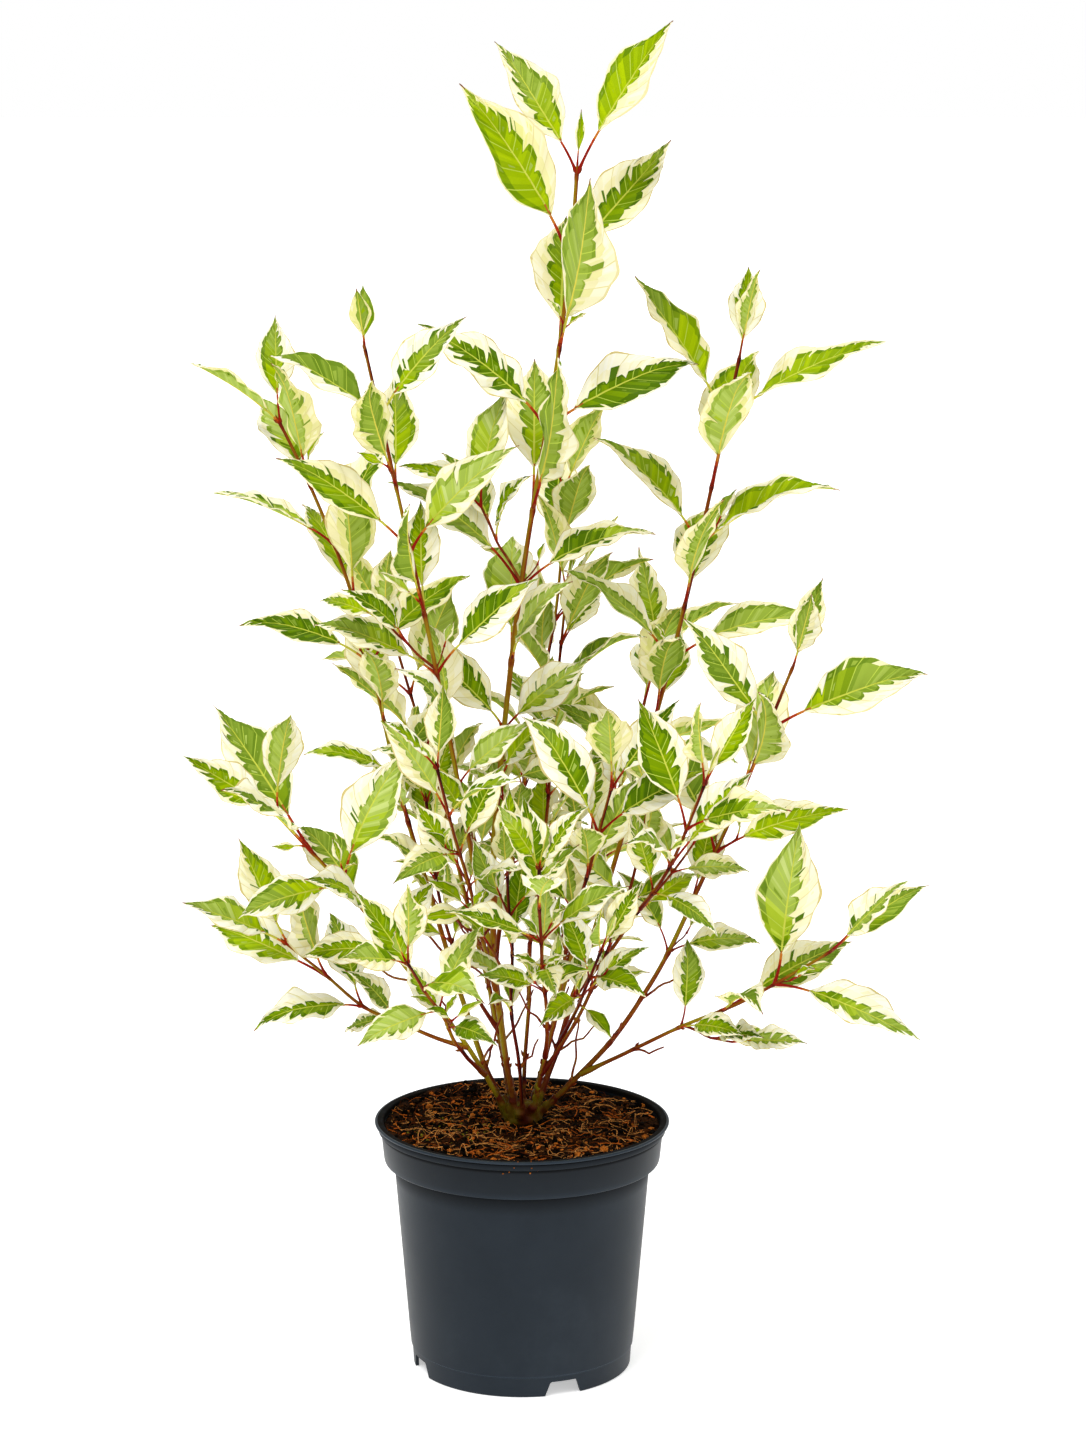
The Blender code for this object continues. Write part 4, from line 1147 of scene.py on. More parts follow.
def blade_sheet(leaf, along, bulge, share, scale, rng):
    """The blade's middle surface, with its upward direction at each point."""
    phase = lambda: rng.uniform(0, math.tau)
    two_sides = lambda: np.array([phase()] * 7 + [phase()] * 6)[:, None]
    sign = np.array([-1.0] * 6 + [0.0] + [1.0] * 6)[:, None]
    s = along + SWEEP * np.sin(math.pi * along) * share**SWEEP_CURVE
    pull = (1.0 - TIP_PULL * s**TIP_PULL_POWER) * (1.0 - BASE_PULL * (1.0 - s) ** BASE_PULL_POWER)
    width = leaf.half_width * blade_half_width(np.clip(s, 0.0, 1.0)) * pull + 0.00022
    waves = EDGE_WAVE * share * np.sin(9.0 * s + two_sides())
    width *= 1.0 + EDGE_SCALLOP * (bulge - 0.5) * share**2 + waves
    lateral = sign * share * width * math.cos(leaf.fold)
    rise = share**1.25 * width * math.sin(leaf.fold)
    rise += QUILT * scale * bulge * 4 * share * (1 - share)
    rough = np.random.default_rng(rng.randrange(1 << 30)).normal(0.0, CREASE * scale, share.shape)
    rise += rough * 4 * share * (1.05 - share)
    wave = rng.uniform(*MARGIN_WAVE) * scale
    count = rng.uniform(*WAVE_COUNT)
    turns = math.tau * count * s + two_sides()
    rise += wave * share**2 * np.sin(turns) * np.sin(math.pi * s) ** 0.5
    centre, normal = spine_of(leaf, s)
    across = np.array(leaf.across)
    centre = centre + across * (rng.uniform(-1, 1) * SIDE_BEND * leaf.length * s**2)[..., None]
    curl = rng.uniform(*TIP_CURL) * leaf.length * np.maximum(0.0, s - TIP_CURL_FROM) ** 2
    centre = centre - normal * curl[..., None]
    turn = (math.radians(rng.uniform(-TWIST, TWIST)) * (s - 0.2))[..., None]
    sideways = across * np.cos(turn) + normal * np.sin(turn)
    upward = normal * np.cos(turn) - across * np.sin(turn)
    return centre + sideways * lateral[..., None] + upward * rise[..., None], upward


def blade_layers(sheet, upward, along, bulge, share, scale):
    """(points, quads) of the blade's upper and lower layers, which meet all round at the margin."""
    groove = np.zeros_like(share)
    groove[6] = RIB_GROOVE * scale
    ridge = np.zeros_like(share)
    ridge[6] = np.interp(along, (0, 1), RIB_DEPTH) * scale
    ridge[5] = ridge[7] = ridge[6] * 0.35
    ridge += VEIN_RIDGE * (bulge == 0.0) * np.sqrt(np.clip(1 - share, 0, 1)) * (share > 0.05)
    thick = BLADE_THICKNESS * scale / 2
    top = sheet + upward * (thick - groove)[..., None]
    bottom = sheet - upward * (thick + ridge)[..., None]
    for edge in ((0, slice(None)), (12, slice(None)), (slice(None), 0), (slice(None), -1)):
        top[edge] = sheet[edge]
    rows, columns = share.shape
    upper_index = np.arange(rows * columns).reshape(rows, columns)
    lower_index = upper_index.copy()
    inner = (rows - 2) * (columns - 2)
    lower_index[1:-1, 1:-1] = rows * columns + np.arange(inner).reshape(rows - 2, columns - 2)
    points = np.concatenate([top.reshape(-1, 3), bottom[1:-1, 1:-1].reshape(-1, 3)])
    return points, np.concatenate([quads_of(upper_index), quads_of(lower_index)[:, ::-1]])


def leaf_looks(leaf, rng):
    """The tones of one leaf: young ones are brighter and warmer, low ones deeper and greyer with whiter
    cream as painted light.
    """
    young = max(0.0, 1.0 - leaf.size / 0.6)
    height = (leaf.root.z - LOWEST_LEAF) / (CANES[0]["tip"][2] - LOWEST_LEAF)
    sage = SAGE_CHANCE[1] + (SAGE_CHANCE[0] - SAGE_CHANCE[1]) * height
    is_sage = rng.random() < sage * (1.0 - young)
    low = 1.0 - height
    return dict(
        sage_from=rng.uniform(*(SAGE_FROM if is_sage else SAGE_TIP)),
        sage_tone=rng.uniform(*SAGE_TONE) + 0.5 * low,
        tone=rng.uniform(*GREEN_TONE) - young + 0.6 * low,
        edge=rng.choice((0, 1)),
        under=rng.uniform(*UNDER_TONE),
        # Low leaves get whiter cream: painted light against the shade low in the crown
        cream=rng.uniform(*CREAM_TONE) + 0.8 * young - 0.8 * low,
        speckle=rng.choice(SPECKLES),
        red_foot=rng.choice(RED_FEET),
        brown_tip=rng.random() < BROWN_TIP_CHANCE,
    )


def quads_of(index):
    """Quads of a grid of point numbers, facing up where rows run across and columns along."""
    a, b = index[:-1, :-1], index[1:, :-1]
    c, d = index[1:, 1:], index[:-1, 1:]
    return np.stack([a, b, c, d], axis=-1).reshape(-1, 4)


def spine_of(leaf, along):
    """The leaf's spine read at an array of shares of its length."""
    bend = max(leaf.droop, 1e-3)
    angle = bend * along[..., None]
    way, up, base = (np.array(v) for v in (leaf.way, leaf.up, leaf.base))
    forward = leaf.length * np.sin(angle) / bend
    down = leaf.length * (1.0 - np.cos(angle)) / bend
    return base + way * forward - up * down, up * np.cos(angle) + way * np.sin(angle)


def stalk_mesh(leaf, rng):
    """A stalk from inside the stem to the underside of the rib, red at its foot and yellow at the blade."""
    corner = leaf.skin + leaf.stalk_way * (leaf.stalk * 0.5)
    scale = max(0.45, min(1.0, leaf.size)) ** 0.7
    points = []
    radii = []
    for i in range(STALK_STEPS + 1):
        t = i / STALK_STEPS
        points.append(leaf.root * (1 - t) ** 2 + corner * (2 * t * (1 - t)) + leaf.base * t * t)
        swell = STALK_RADII[0] if t < 0.3 else STALK_RADII[1] * (1.12 - 0.2 * t)
        radii.append(swell * scale)
    for along, radius in ((0.03, 0.0007), (0.09, 0.0004)):
        centre, normal = leaf.spine(along)
        points.append(centre - normal * radius * scale * 1.1)
        radii.append(radius * scale)
    rings = round_rings(points, radii, STALK_SIDES)
    body, faces = ring_mesh(rings, leaf.spine(0.15)[0] - leaf.spine(0.15)[1] * 0.0004)
    red = rng.choice(STALK_REDNESS)
    slots = [0]
    for i in range(len(rings) - 1):
        t = i / (len(rings) - 1)
        slots += [sum(t >= end for end in (red * 0.6, red * 0.85, red + 0.15))] * STALK_SIDES
    slots += [3] * STALK_SIDES
    return body, faces, np.array(slots)


def make_foliage(masses, tip_leaves, sprigs):
    """Every blade in pieces that stay under the triangle limit, and every stalk in a piece of its own."""
    palette = Palette()
    stalks = Pile()
    pieces = []
    pile = Pile()
    groups = [(m["name"], sum((twig["leaves"] for twig in m["twigs"]), m["leaves"])) for m in masses]
    groups.append((None, tip_leaves + [leaf for sprig in sprigs for leaf in sprig["leaves"]]))
    nodes = []
    for name, leaves in groups:
        if pile.triangles + len(leaves) * MOST_BLADE_TRIANGLES > LEAF_PIECE_LIMIT:
            pieces.append((pile, nodes))
            pile, nodes = Pile(), []
        nodes += [name] if name else []
        for number, leaf in enumerate(leaves):
            rng = random.Random(f"{name} {number}")
            pile.add(*blade_mesh(leaf, palette, rng))
            stalks.add(*stalk_mesh(leaf, rng))
    pieces.append((pile, nodes))
    made = []
    for number, (pile, nodes) in enumerate(pieces):
        made.append((pile.build(f"leaves_{number + 1}", palette.materials, sharp=75.0), nodes))
    stalk_tints = [plain_material(f"stalk {i + 1}", color, STALK_ROUGHNESS)
                   for i, color in enumerate(STALK_TINTS)]
    return made, stalks.build("leaf_stalks", stalk_tints, sharp=80.0)


def swell_at(distance, nodes, height):
    return height * sum(math.exp(-(((distance - node) / NODE_REACH) ** 2)) for node in nodes)


def fork_line(cane, canes):
    """The cane's path, carried back into its parent where it forks from one, and how far that is."""
    path = cane["path"]
    if "fork" not in cane:
        return path, 0.0
    parent, distance = canes[cane["fork"][0]], cane["fork"][1]
    tangent = parent["path"].at(distance)[1]
    start_way = path.tangents[0]
    slope = math.sqrt(max(0.05, 1.0 - start_way.dot(tangent) ** 2))
    sink = min(FORK_SINK, (radius_at(parent, distance) + cane["radii"][0]) / slope)
    back = [path.points[0] - start_way * sink * share for share in (1.0, 0.5)]
    return Path(back + path.points), sink


def redness(cane, distance, near_node, lane):
    """How red the bark is from 0, olive, to 1, crimson: more so high up, at nodes and on some canes."""
    share = distance / cane["path"].length
    drift = noise.noise(Vector((distance * 26.0, cane["index"] * 7.3, lane)))
    foot = FOOT_RED * math.exp(-distance / FOOT_RED_REACH)
    return RED_LEVEL + RED_RISE * share + cane["red"] + RED_NODE * near_node + RED_DRIFT * drift + foot


def bend_at_old_nodes(cane):
    """Small sideways shifts of a cane at its old nodes, none at its stub or where its leaves begin."""
    rng = random.Random(SEED * 19 + cane["index"])
    old = old_nodes(cane)
    shifts = [[rng.uniform(-KINK, KINK) for _ in old] for _ in range(2)]
    stops = [0.0, STUB_LENGTH - 0.002] + old + [cane["bare"]]
    cane["kinks"] = (stops, *([0.0, 0.0] + row + [0.0] for row in shifts))


def kink_at(cane, distance):
    stops, along_x, along_y = cane["kinks"]
    return Vector((np.interp(distance, stops, along_x), np.interp(distance, stops, along_y), 0.0))


def bud_shape(root, way, length, radius):
    """A small pointed bud with a swollen middle."""
    points = [root + way * length * share for share, _ in BUD_SHAPE]
    rings = round_rings(points, [radius * wide for _, wide in BUD_SHAPE], 6)
    return ring_mesh(rings, root + way * length)


def bud_shapes(cane):
    """A pair of buds pressed to the cane at each node, with leaves or without."""
    rng = random.Random(SEED * 29 + cane["index"])
    spots = [(stop, 90.0 * number) for number, stop in enumerate(old_nodes(cane))]
    spots += [(stop, pair_azimuth(cane, k)) for k, stop in enumerate(node_distances(cane))]
    for stop, azimuth in spots:
        for half, shift in PAIR:
            node = cane["path"].at(stop + shift + BUD_RISE)
            point, tangent, _ = node
            outward = outward_of(node, azimuth + half)
            root = point + kink_at(cane, stop) + outward * radius_at(cane, stop) * 0.8
            way = (tangent + outward * rng.uniform(0.35, 0.65)).normalized()
            yield bud_shape(root, way, rng.uniform(*BUD_LENGTH), BUD_RADIUS)


def bark_radius(cane, distance, leafy, old):
    """A cane's radius with its swollen nodes, its flare at a fork and its tapered end."""
    end = cane["path"].length
    swell = 1.0 + swell_at(distance, leafy, NODE_SWELL)
    radius = radius_at(cane, min(distance, end)) * (swell + swell_at(distance, old, OLD_NODE_SWELL))
    if "fork" in cane:
        radius *= 1.0 + FORK_FLARE * math.exp(-distance / FORK_FLARE_REACH)
    return radius * (1.0 - 0.45 * max(0.0, (distance - end + 0.006) / 0.006))


def cane_shape(cane, canes):
    """(points, faces, values) of a cane from its foot or its parent's core to its bud."""
    line, sink = fork_line(cane, canes)
    leafy = node_distances(cane)
    old = old_nodes(cane)
    index = cane["index"]
    count = round(line.length / CANE_STEP)
    rings, red, grain = [], [], []
    for i in range(count + 1):
        distance = line.length * i / count - sink
        own = max(0.0, distance)
        point, tangent, side = line.at(line.length * i / count)
        point = point + kink_at(cane, own)
        other = tangent.cross(side)
        near = min(1.0, swell_at(own, leafy, 1.0) + 0.5 * swell_at(own, old, 1.0))
        radius = bark_radius(cane, own, leafy, old)
        ring = []
        for k in range(CANE_SIDES):
            turn = -math.tau * k / CANE_SIDES
            across = Vector((math.cos(turn), math.sin(turn)))
            ridge = noise.noise(Vector((across.x * 2.1, across.y * 2.1, own * 55.0 + index * 9.1)))
            stripe = noise.noise(Vector((across.x * 4.0, across.y * 4.0, own * 14.0 + index)))
            reach = radius * (1.0 + RIDGES * ridge + RIDGES * stripe)
            out = side * across.x + other * across.y
            ring.append(point + out * reach)
            # Painted shade on the cane's side away from the key lamp, painted light on its lit side
            painted_side_shade = SHADE_SIDE_RED * out.dot(SHADE_SIDE_WAY)
            red.append(painted_side_shade + redness(cane, own, near, across.x * 0.5 + index))
            grain.append((across.x * radius, across.y * radius, own * 0.22 + index * 0.3))
        rings.append(ring)
    body, faces = ring_mesh(rings, line.points[-1] + line.tangents[-1] * 0.0016)
    red.append(red[-1])
    grain.append(grain[-1])
    return body, faces, dict(red=red, grain=grain)


def shoot_shape(path, radius, tip_radius):
    """A slim side shoot, widened where it leaves its stem and closed by a point."""
    count = max(4, round(path.length / 0.004))
    points = [path.at(path.length * i / count)[0] for i in range(count + 1)]
    radii = [radius + (tip_radius - radius) * (i / count) for i in range(count + 1)]
    radii[0] *= 1.5
    rings = round_rings(points, radii, 8)
    return ring_mesh(rings, points[-1] + path.tangents[-1] * 0.0012)


def icosphere(subdivisions, radius):
    """(points, faces) of a ball of triangles."""
    shape = bmesh.new()
    bmesh.ops.create_icosphere(shape, subdivisions=subdivisions, radius=radius)
    shape.verts.index_update()
    points = [tuple(v.co) for v in shape.verts]
    faces = [tuple(v.index for v in f.verts) for f in shape.faces]
    shape.free()
    return points, faces


def baked(obj):
    """The object's mesh with its modifiers carried out."""
    graph = bpy.context.evaluated_depsgraph_get()
    return bpy.data.meshes.new_from_object(obj.evaluated_get(graph))


def crown_parts(canes, foot):
    """The swollen base, the flared foot of each cane and the stumps, as one pile."""
    pile = Pile()
    ball, faces = icosphere(3, CROWN_FOOT_RADIUS)
    squat = lambda z: foot + max(0.0, 0.0015 + z * CROWN_HEIGHT / CROWN_FOOT_RADIUS * 0.85)
    pile.add([(x, y, squat(z)) for x, y, z in ball], faces)
    taper = lambda d: 1.75 - 0.80 * min(1.0, d / STUB_LENGTH) ** 0.7
    for cane in canes.values():
        if "foot" in cane:
            flare = lambda d, cane=cane: radius_at(cane, d) * taper(d)
            rings = tube_rings(cane["path"], 0.0, STUB_LENGTH, flare, 12, 0.003)
            pile.add(*ring_mesh(rings))
    rng = random.Random(SEED)
    for azimuth, lean, length, radius in STUMPS:
        way = leaning(lean, azimuth)
        start = polar(0.007, azimuth, foot + 0.004)
        points = [start + way * length * i / 4 for i in range(5)]
        radii = [radius * (1.25 - 0.06 * i + rng.uniform(-0.05, 0.05)) for i in range(5)]
        pile.add(*ring_mesh(round_rings(points, radii, 10)))
    return pile


def crown_shape(canes):
    """(points, faces, values) of the crown, fused by a voxel remesh and roughened."""
    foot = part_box("crown")[0].z
    obj = crown_parts(canes, foot).build("crown_core", [])
    remesh = obj.modifiers.new("fuse", "REMESH")
    remesh.mode = "VOXEL"
    remesh.voxel_size = CROWN_VOXEL
    smooth = obj.modifiers.new("ease", "SMOOTH")
    smooth.iterations = 4
    fused = baked(obj)
    points, red, grain = [], [], []
    for vert in fused.vertices:
        place = vert.co
        lump = noise.noise(place * 240.0) * 0.0012 + noise.noise(place * 640.0) * 0.0004
        points.append(place + vert.normal * lump)
        red.append(0.42 + 0.6 * noise.noise(place * 130.0) + 0.7 * noise.noise(place * 60.0 + UP))
        grain.append((place.x, place.y, (place.z - foot) * 0.3))
    faces = [tuple(p.vertices) for p in fused.polygons]
    bpy.data.objects.remove(obj)
    bpy.data.meshes.remove(fused)
    return points, faces, dict(red=red, grain=grain)


def make_canes(canes, masses, sprigs, snags):
    """The crown with every cane in one mesh of bark, and the side shoots and buds in another."""
    bark = bark_material()
    wood = Pile()
    points, faces, values = crown_shape(canes)
    wood.add(points, faces, **values)
    for cane in canes.values():
        cane["red"] = CANE_REDNESS.get(cane["name"], OTHER_REDNESS)
        bend_at_old_nodes(cane)
        points, faces, values = cane_shape(cane, canes)
        wood.add(points, faces, **values)
    shoots = Pile()
    for twig in (twig for mass in masses for twig in mass["twigs"]):
        shoots.add(*shoot_shape(twig["path"], TWIG_RADIUS, TWIG_RADIUS * 0.7))
    for sprig in sprigs:
        shoots.add(*shoot_shape(sprig["path"], SPRIG_RADIUS, SPRIG_RADIUS * 0.8))
    for snag in snags:
        shoots.add(*shoot_shape(snag, SNAG_RADIUS, SNAG_RADIUS * 0.6))
    for cane in canes.values():
        for bud in bud_shapes(cane):
            shoots.add(*bud)
    young = young_bark_material()
    return wood.build("canes", [bark], sharp=60.0), shoots.build("side_shoots", [young], sharp=60.0)


class Nodes:
    """Short calls for building a material's nodes."""

    def __init__(self, name, sheen, roughness=0.5):
        self.material = bpy.data.materials.new(name)
        self.material.use_nodes = True
        self.tree = self.material.node_tree
        self.shader = self.tree.nodes["Principled BSDF"]
        self.shader.inputs["Specular IOR Level"].default_value = sheen
        self.shader.inputs["Roughness"].default_value = roughness

    def add(self, kind, **inputs):
        node = self.tree.nodes.new(kind)
        for key, value in inputs.items():
            node.inputs[key.replace("_", " ").title()].default_value = value
        return node

    def link(self, source, output, target, socket):
        self.tree.links.new(source.outputs[output], target.inputs[socket])

    def attribute(self, name):
        node = self.tree.nodes.new("ShaderNodeAttribute")
        node.attribute_name = name
        return node

    def coordinates(self):
        return self.tree.nodes.new("ShaderNodeTexCoord")

    def noise(self, coordinates, output, scale, detail=4.0, roughness=0.55):
        node = self.add("ShaderNodeTexNoise", scale=scale, detail=detail, roughness=roughness)
        self.link(coordinates, output, node, "Vector")
        return node

    def math(self, operation, *terms):
        """A Math node whose terms are numbers or (node, output)."""
        node = self.tree.nodes.new("ShaderNodeMath")
        node.operation = operation
        for i, term in enumerate(terms):
            if isinstance(term, tuple):
                self.link(*term, node, i)
            else:
                node.inputs[i].default_value = term
        return node

    def ramp(self, source, output, stops):
        """A colour ramp through (place, display colour) stops."""
        node = self.tree.nodes.new("ShaderNodeValToRGB")
        elements = node.color_ramp.elements
        while len(elements) < len(stops):
            elements.new(0.5)
        for element, (place, color) in zip(elements, stops):
            element.position = place
            element.color = linear_color(color)
        self.link(source, output, node, "Fac")
        return node

    def grey_ramp(self, source, output, stops):
        return self.ramp(source, output, [(place, (value,) * 3) for place, value in stops])

    def value_ramp(self, source, output, stops):
        """A ramp through (place, value) stops."""
        node = self.grey_ramp(source, output, [(place, 0) for place, _ in stops])
        for element, (_, value) in zip(node.color_ramp.elements, stops):
            element.color = (value, value, value, 1.0)
        return node

    def bump(self, source, output, strength, distance, after=None):
        node = self.add("ShaderNodeBump", strength=strength, distance=distance)
        self.link(source, output, node, "Height")
        if after:
            self.link(after, "Normal", node, "Normal")
        return node

    def paint(self, color, output="Color"):
        self.link(color, output, self.shader, "Base Color")

    def relief(self, bump):
        self.link(bump, "Normal", self.shader, "Normal")

    def share_of_height(self, place, height):
        """A point's height as a share of this one."""
        parts = self.tree.nodes.new("ShaderNodeSeparateXYZ")
        self.link(place, "Object", parts, 0)
        return self.math("DIVIDE", (parts, "Z"), height)

    def multiply(self, first, second):
        """The product of two colours."""
        node = self.tree.nodes.new("ShaderNodeMix")
        node.data_type = "RGBA"
        node.blend_type = "MULTIPLY"
        node.inputs[0].default_value = 1.0
        self.link(first, "Color", node, 6)
        self.link(second, "Color", node, 7)
        return node

    def spread(self, source, output, low, high, socket):
        """A noise's middle range carried to a range of one of the shader's values."""
        node = self.add("ShaderNodeMapRange", from_min=0.3, from_max=0.7, to_min=low, to_max=high)
        self.link(source, output, node, "Value")
        self.link(node, "Result", self.shader, socket)


def bark_material():
    """Bark from olive to crimson, darker at its foot with painted shade, with fine lengthwise cracks and
    pale pores.
    """
    nodes = Nodes("bark", BARK_SHEEN)
    red = nodes.attribute("red")
    grain = nodes.attribute("grain")
    mottle = nodes.noise(grain, "Vector", 900.0, 5.0)
    patch = nodes.noise(grain, "Vector", 190.0, 3.0)
    fine = nodes.math("MULTIPLY_ADD", (mottle, "Fac"), 0.34, -0.17)
    broad = nodes.math("MULTIPLY_ADD", (patch, "Fac"), 0.50, -0.25)
    first = nodes.math("ADD", (red, "Fac"), (fine, "Value"))
    total = nodes.math("ADD", (first, "Value"), (broad, "Value"))
    color = nodes.ramp(total, "Value", BARK_STOPS)
    # Darker towards the soil: painted shade at the foot of the crown and canes
    height = nodes.share_of_height(nodes.coordinates(), FOOT_SHADE_TOP)
    nodes.paint(nodes.multiply(color, nodes.grey_ramp(height, "Value", FOOT_PAINTED_SHADES)), "Result")
    pores = nodes.tree.nodes.new("ShaderNodeTexVoronoi")
    pores.inputs["Scale"].default_value = 420.0
    nodes.link(grain, "Vector", pores, "Vector")
    cracks = nodes.bump(mottle, "Fac", 0.35, 0.0004)
    nodes.relief(nodes.bump(pores, "Distance", 0.12, 0.0003, after=cracks))
    nodes.spread(patch, "Fac", 0.40, 0.60, "Roughness")
    return nodes.material


def young_bark_material():
    nodes = Nodes("young bark", BARK_SHEEN)
    place = nodes.coordinates()
    patch = nodes.noise(place, "Object", 160.0, 3.0)
    nodes.paint(nodes.ramp(patch, "Fac", YOUNG_BARK_STOPS))
    fine = nodes.noise(place, "Object", 1500.0, 3.0)
    nodes.relief(nodes.bump(fine, "Fac", 0.2, 0.0002))
    nodes.spread(patch, "Fac", 0.38, 0.55, "Roughness")
    return nodes.material


def arc(centre, radius, start, end, steps):
    """Points of an arc in the (radius, height) plane, angles in degrees from outward to upward."""
    points = []
    for i in range(steps + 1):
        turn = math.radians(start + (end - start) * i / steps)
        points.append((centre[0] + radius * math.cos(turn), centre[1] + radius * math.sin(turn)))
    return points


def lathe(name, profile, steps):
    """A closed body of revolution from a profile that starts and ends on the axis."""
    rings = profile[1:-1]
    points = [(0.0, 0.0, profile[0][1])]
    for r, z in rings:
        for k in range(steps):
            turn = math.tau * k / steps
            points.append((r * math.cos(turn), r * math.sin(turn), z))
    points.append((0.0, 0.0, profile[-1][1]))
    last = len(points) - 1
    faces = []
    for k in range(steps):
        following = (k + 1) % steps
        faces.append((0, 1 + k, 1 + following))
        for i in range(len(rings) - 1):
            a, b = 1 + i * steps, 1 + (i + 1) * steps
            faces.append((a + following, a + k, b + k, b + following))
        end = 1 + (len(rings) - 1) * steps
        faces.append((end + following, end + k, last))
    return in_scene(name, new_mesh(name, points, faces))


def pot_profile():
    """From the centre of the floor out, up the inside, over the rolled lip and down to the underside."""
    channel = CHANNEL_HEIGHT + WALL
    inner_rim = COLLAR_TOP_RADIUS - WALL
    profile = [(0.0, WALL), (PAD_RADIUS - WALL, WALL), (PAD_RADIUS - WALL / 2, channel)]
    profile += [(SKIRT_TOP_RADIUS - WALL, channel), (BODY_FOOT_RADIUS - WALL, SKIRT_HEIGHT + WALL)]
    profile += [(BODY_TOP_RADIUS - WALL, COLLAR_FOOT_HEIGHT + WALL)]
    profile += [(COLLAR_FOOT_RADIUS - WALL, COLLAR_FOOT_HEIGHT + 2 * WALL)]
    profile += [(inner_rim - 0.0002, POT_HEIGHT - 0.0030)]
    profile += arc((inner_rim + LIP_ROUND, POT_HEIGHT - LIP_ROUND), LIP_ROUND, 180, 90, 5)
    profile += [(RIM_RADIUS - LIP_EDGE, POT_HEIGHT)]
    profile += arc((RIM_RADIUS - ROLL_RADIUS, POT_HEIGHT - ROLL_RADIUS), ROLL_RADIUS, 90, -70, 9)
    groove = POT_HEIGHT - (2 * ROLL_RADIUS + BAND_TOP) / 2
    profile += [(BAND_RADIUS - 0.0003, groove), (BAND_RADIUS, POT_HEIGHT - BAND_TOP)]
    profile += arc((BAND_RADIUS - 0.0006, POT_HEIGHT - BAND_FOOT + 0.0006), 0.0006, 0, -80, 3)
    lip_foot = POT_HEIGHT - LIP_HEIGHT
    slope = (COLLAR_TOP_RADIUS - COLLAR_FOOT_RADIUS) / (lip_foot - COLLAR_FOOT_HEIGHT)
    collar = lambda z: COLLAR_FOOT_RADIUS + slope * (z - COLLAR_FOOT_HEIGHT)
    for z in (POT_HEIGHT - BAND_FOOT - 0.0005, POT_HEIGHT - 0.013, COLLAR_FOOT_HEIGHT + 0.0022):
        profile.append((collar(z), z))
    foot = (COLLAR_FOOT_RADIUS - 0.0013, COLLAR_FOOT_HEIGHT + 0.0013)
    profile += arc(foot, 0.0013, 0, -90, 5)
    profile += arc((BODY_TOP_RADIUS + 0.0007, COLLAR_FOOT_HEIGHT - 0.0007), 0.0007, 90, 180, 4)
    body_height = COLLAR_FOOT_HEIGHT - SKIRT_HEIGHT
    widening = BODY_TOP_RADIUS - BODY_FOOT_RADIUS
    for share in (0.97, 0.8, 0.6, 0.4, 0.2, 0.06):
        z = SKIRT_HEIGHT + body_height * share
        profile.append((BODY_FOOT_RADIUS + widening * (z - SKIRT_HEIGHT) / body_height, z))
    profile += [(BODY_FOOT_RADIUS, SKIRT_HEIGHT + 0.0009)]
    profile += [(BODY_FOOT_RADIUS - 0.00005, SKIRT_HEIGHT + 0.0003)]
    profile += [(SKIRT_TOP_RADIUS + 0.00010, SKIRT_HEIGHT - 0.0002)]
    profile += [(SKIRT_TOP_RADIUS, SKIRT_HEIGHT - 0.0009)]
    profile += arc((SKIRT_FOOT_RADIUS - 0.0007, 0.0007), 0.0007, 0, -90, 4)
    profile += [(SKIRT_FOOT_RADIUS - SKIRT_WALL, 0.0), (SKIRT_TOP_RADIUS - SKIRT_WALL, CHANNEL_HEIGHT)]
    profile += [(PAD_RADIUS + WALL / 2, CHANNEL_HEIGHT), (PAD_RADIUS, 0.0), (0.0, 0.0)]
    return profile


def notch_outline():
    """The notch's (across, height) outline, wide at the ground, with its upper corners rounded."""
    low = -0.004
    slope = (NOTCH_FOOT_WIDTH - NOTCH_TOP_WIDTH) / 2 / NOTCH_HEIGHT
    lean = math.degrees(math.atan(slope))
    half = NOTCH_TOP_WIDTH / 2 + slope * NOTCH_ROUND
    right = arc((half - NOTCH_ROUND, NOTCH_HEIGHT - NOTCH_ROUND), NOTCH_ROUND, lean, 90, 5)
    right = [(NOTCH_FOOT_WIDTH / 2 - slope * low, low)] + right
    return right + [(-x, z) for x, z in reversed(right)]


def add_notches(cutters):
    """A wedge across the skirt for each notch."""
    for i in range(NOTCH_COUNT):
        azimuth = NOTCH_FIRST_AZIMUTH + i * 360.0 / NOTCH_COUNT
        out, across = polar(1.0, azimuth, 0.0), polar(1.0, azimuth + 90.0, 0.0)
        rings = []
        for reach in (SKIRT_FOOT_RADIUS - 2 * SKIRT_WALL, RIM_RADIUS):
            rings.append([out * reach + across * x + UP * z for x, z in reversed(notch_outline())])
        add_cutter(cutters, *ring_mesh(rings))


def add_drains(cutters):
    """A rod through the channel's floor for each drain hole, midway between two notches."""
    for i in range(DRAIN_COUNT):
        spot = polar(DRAIN_RING, NOTCH_FIRST_AZIMUTH + (i + 0.5) * 360.0 / DRAIN_COUNT, 0.0)
        line = [spot + UP * z for z in (CHANNEL_HEIGHT - WALL, CHANNEL_HEIGHT + 3 * WALL)]
        add_cutter(cutters, *ring_mesh(round_rings(line, (DRAIN_RADIUS, DRAIN_RADIUS), 24)))


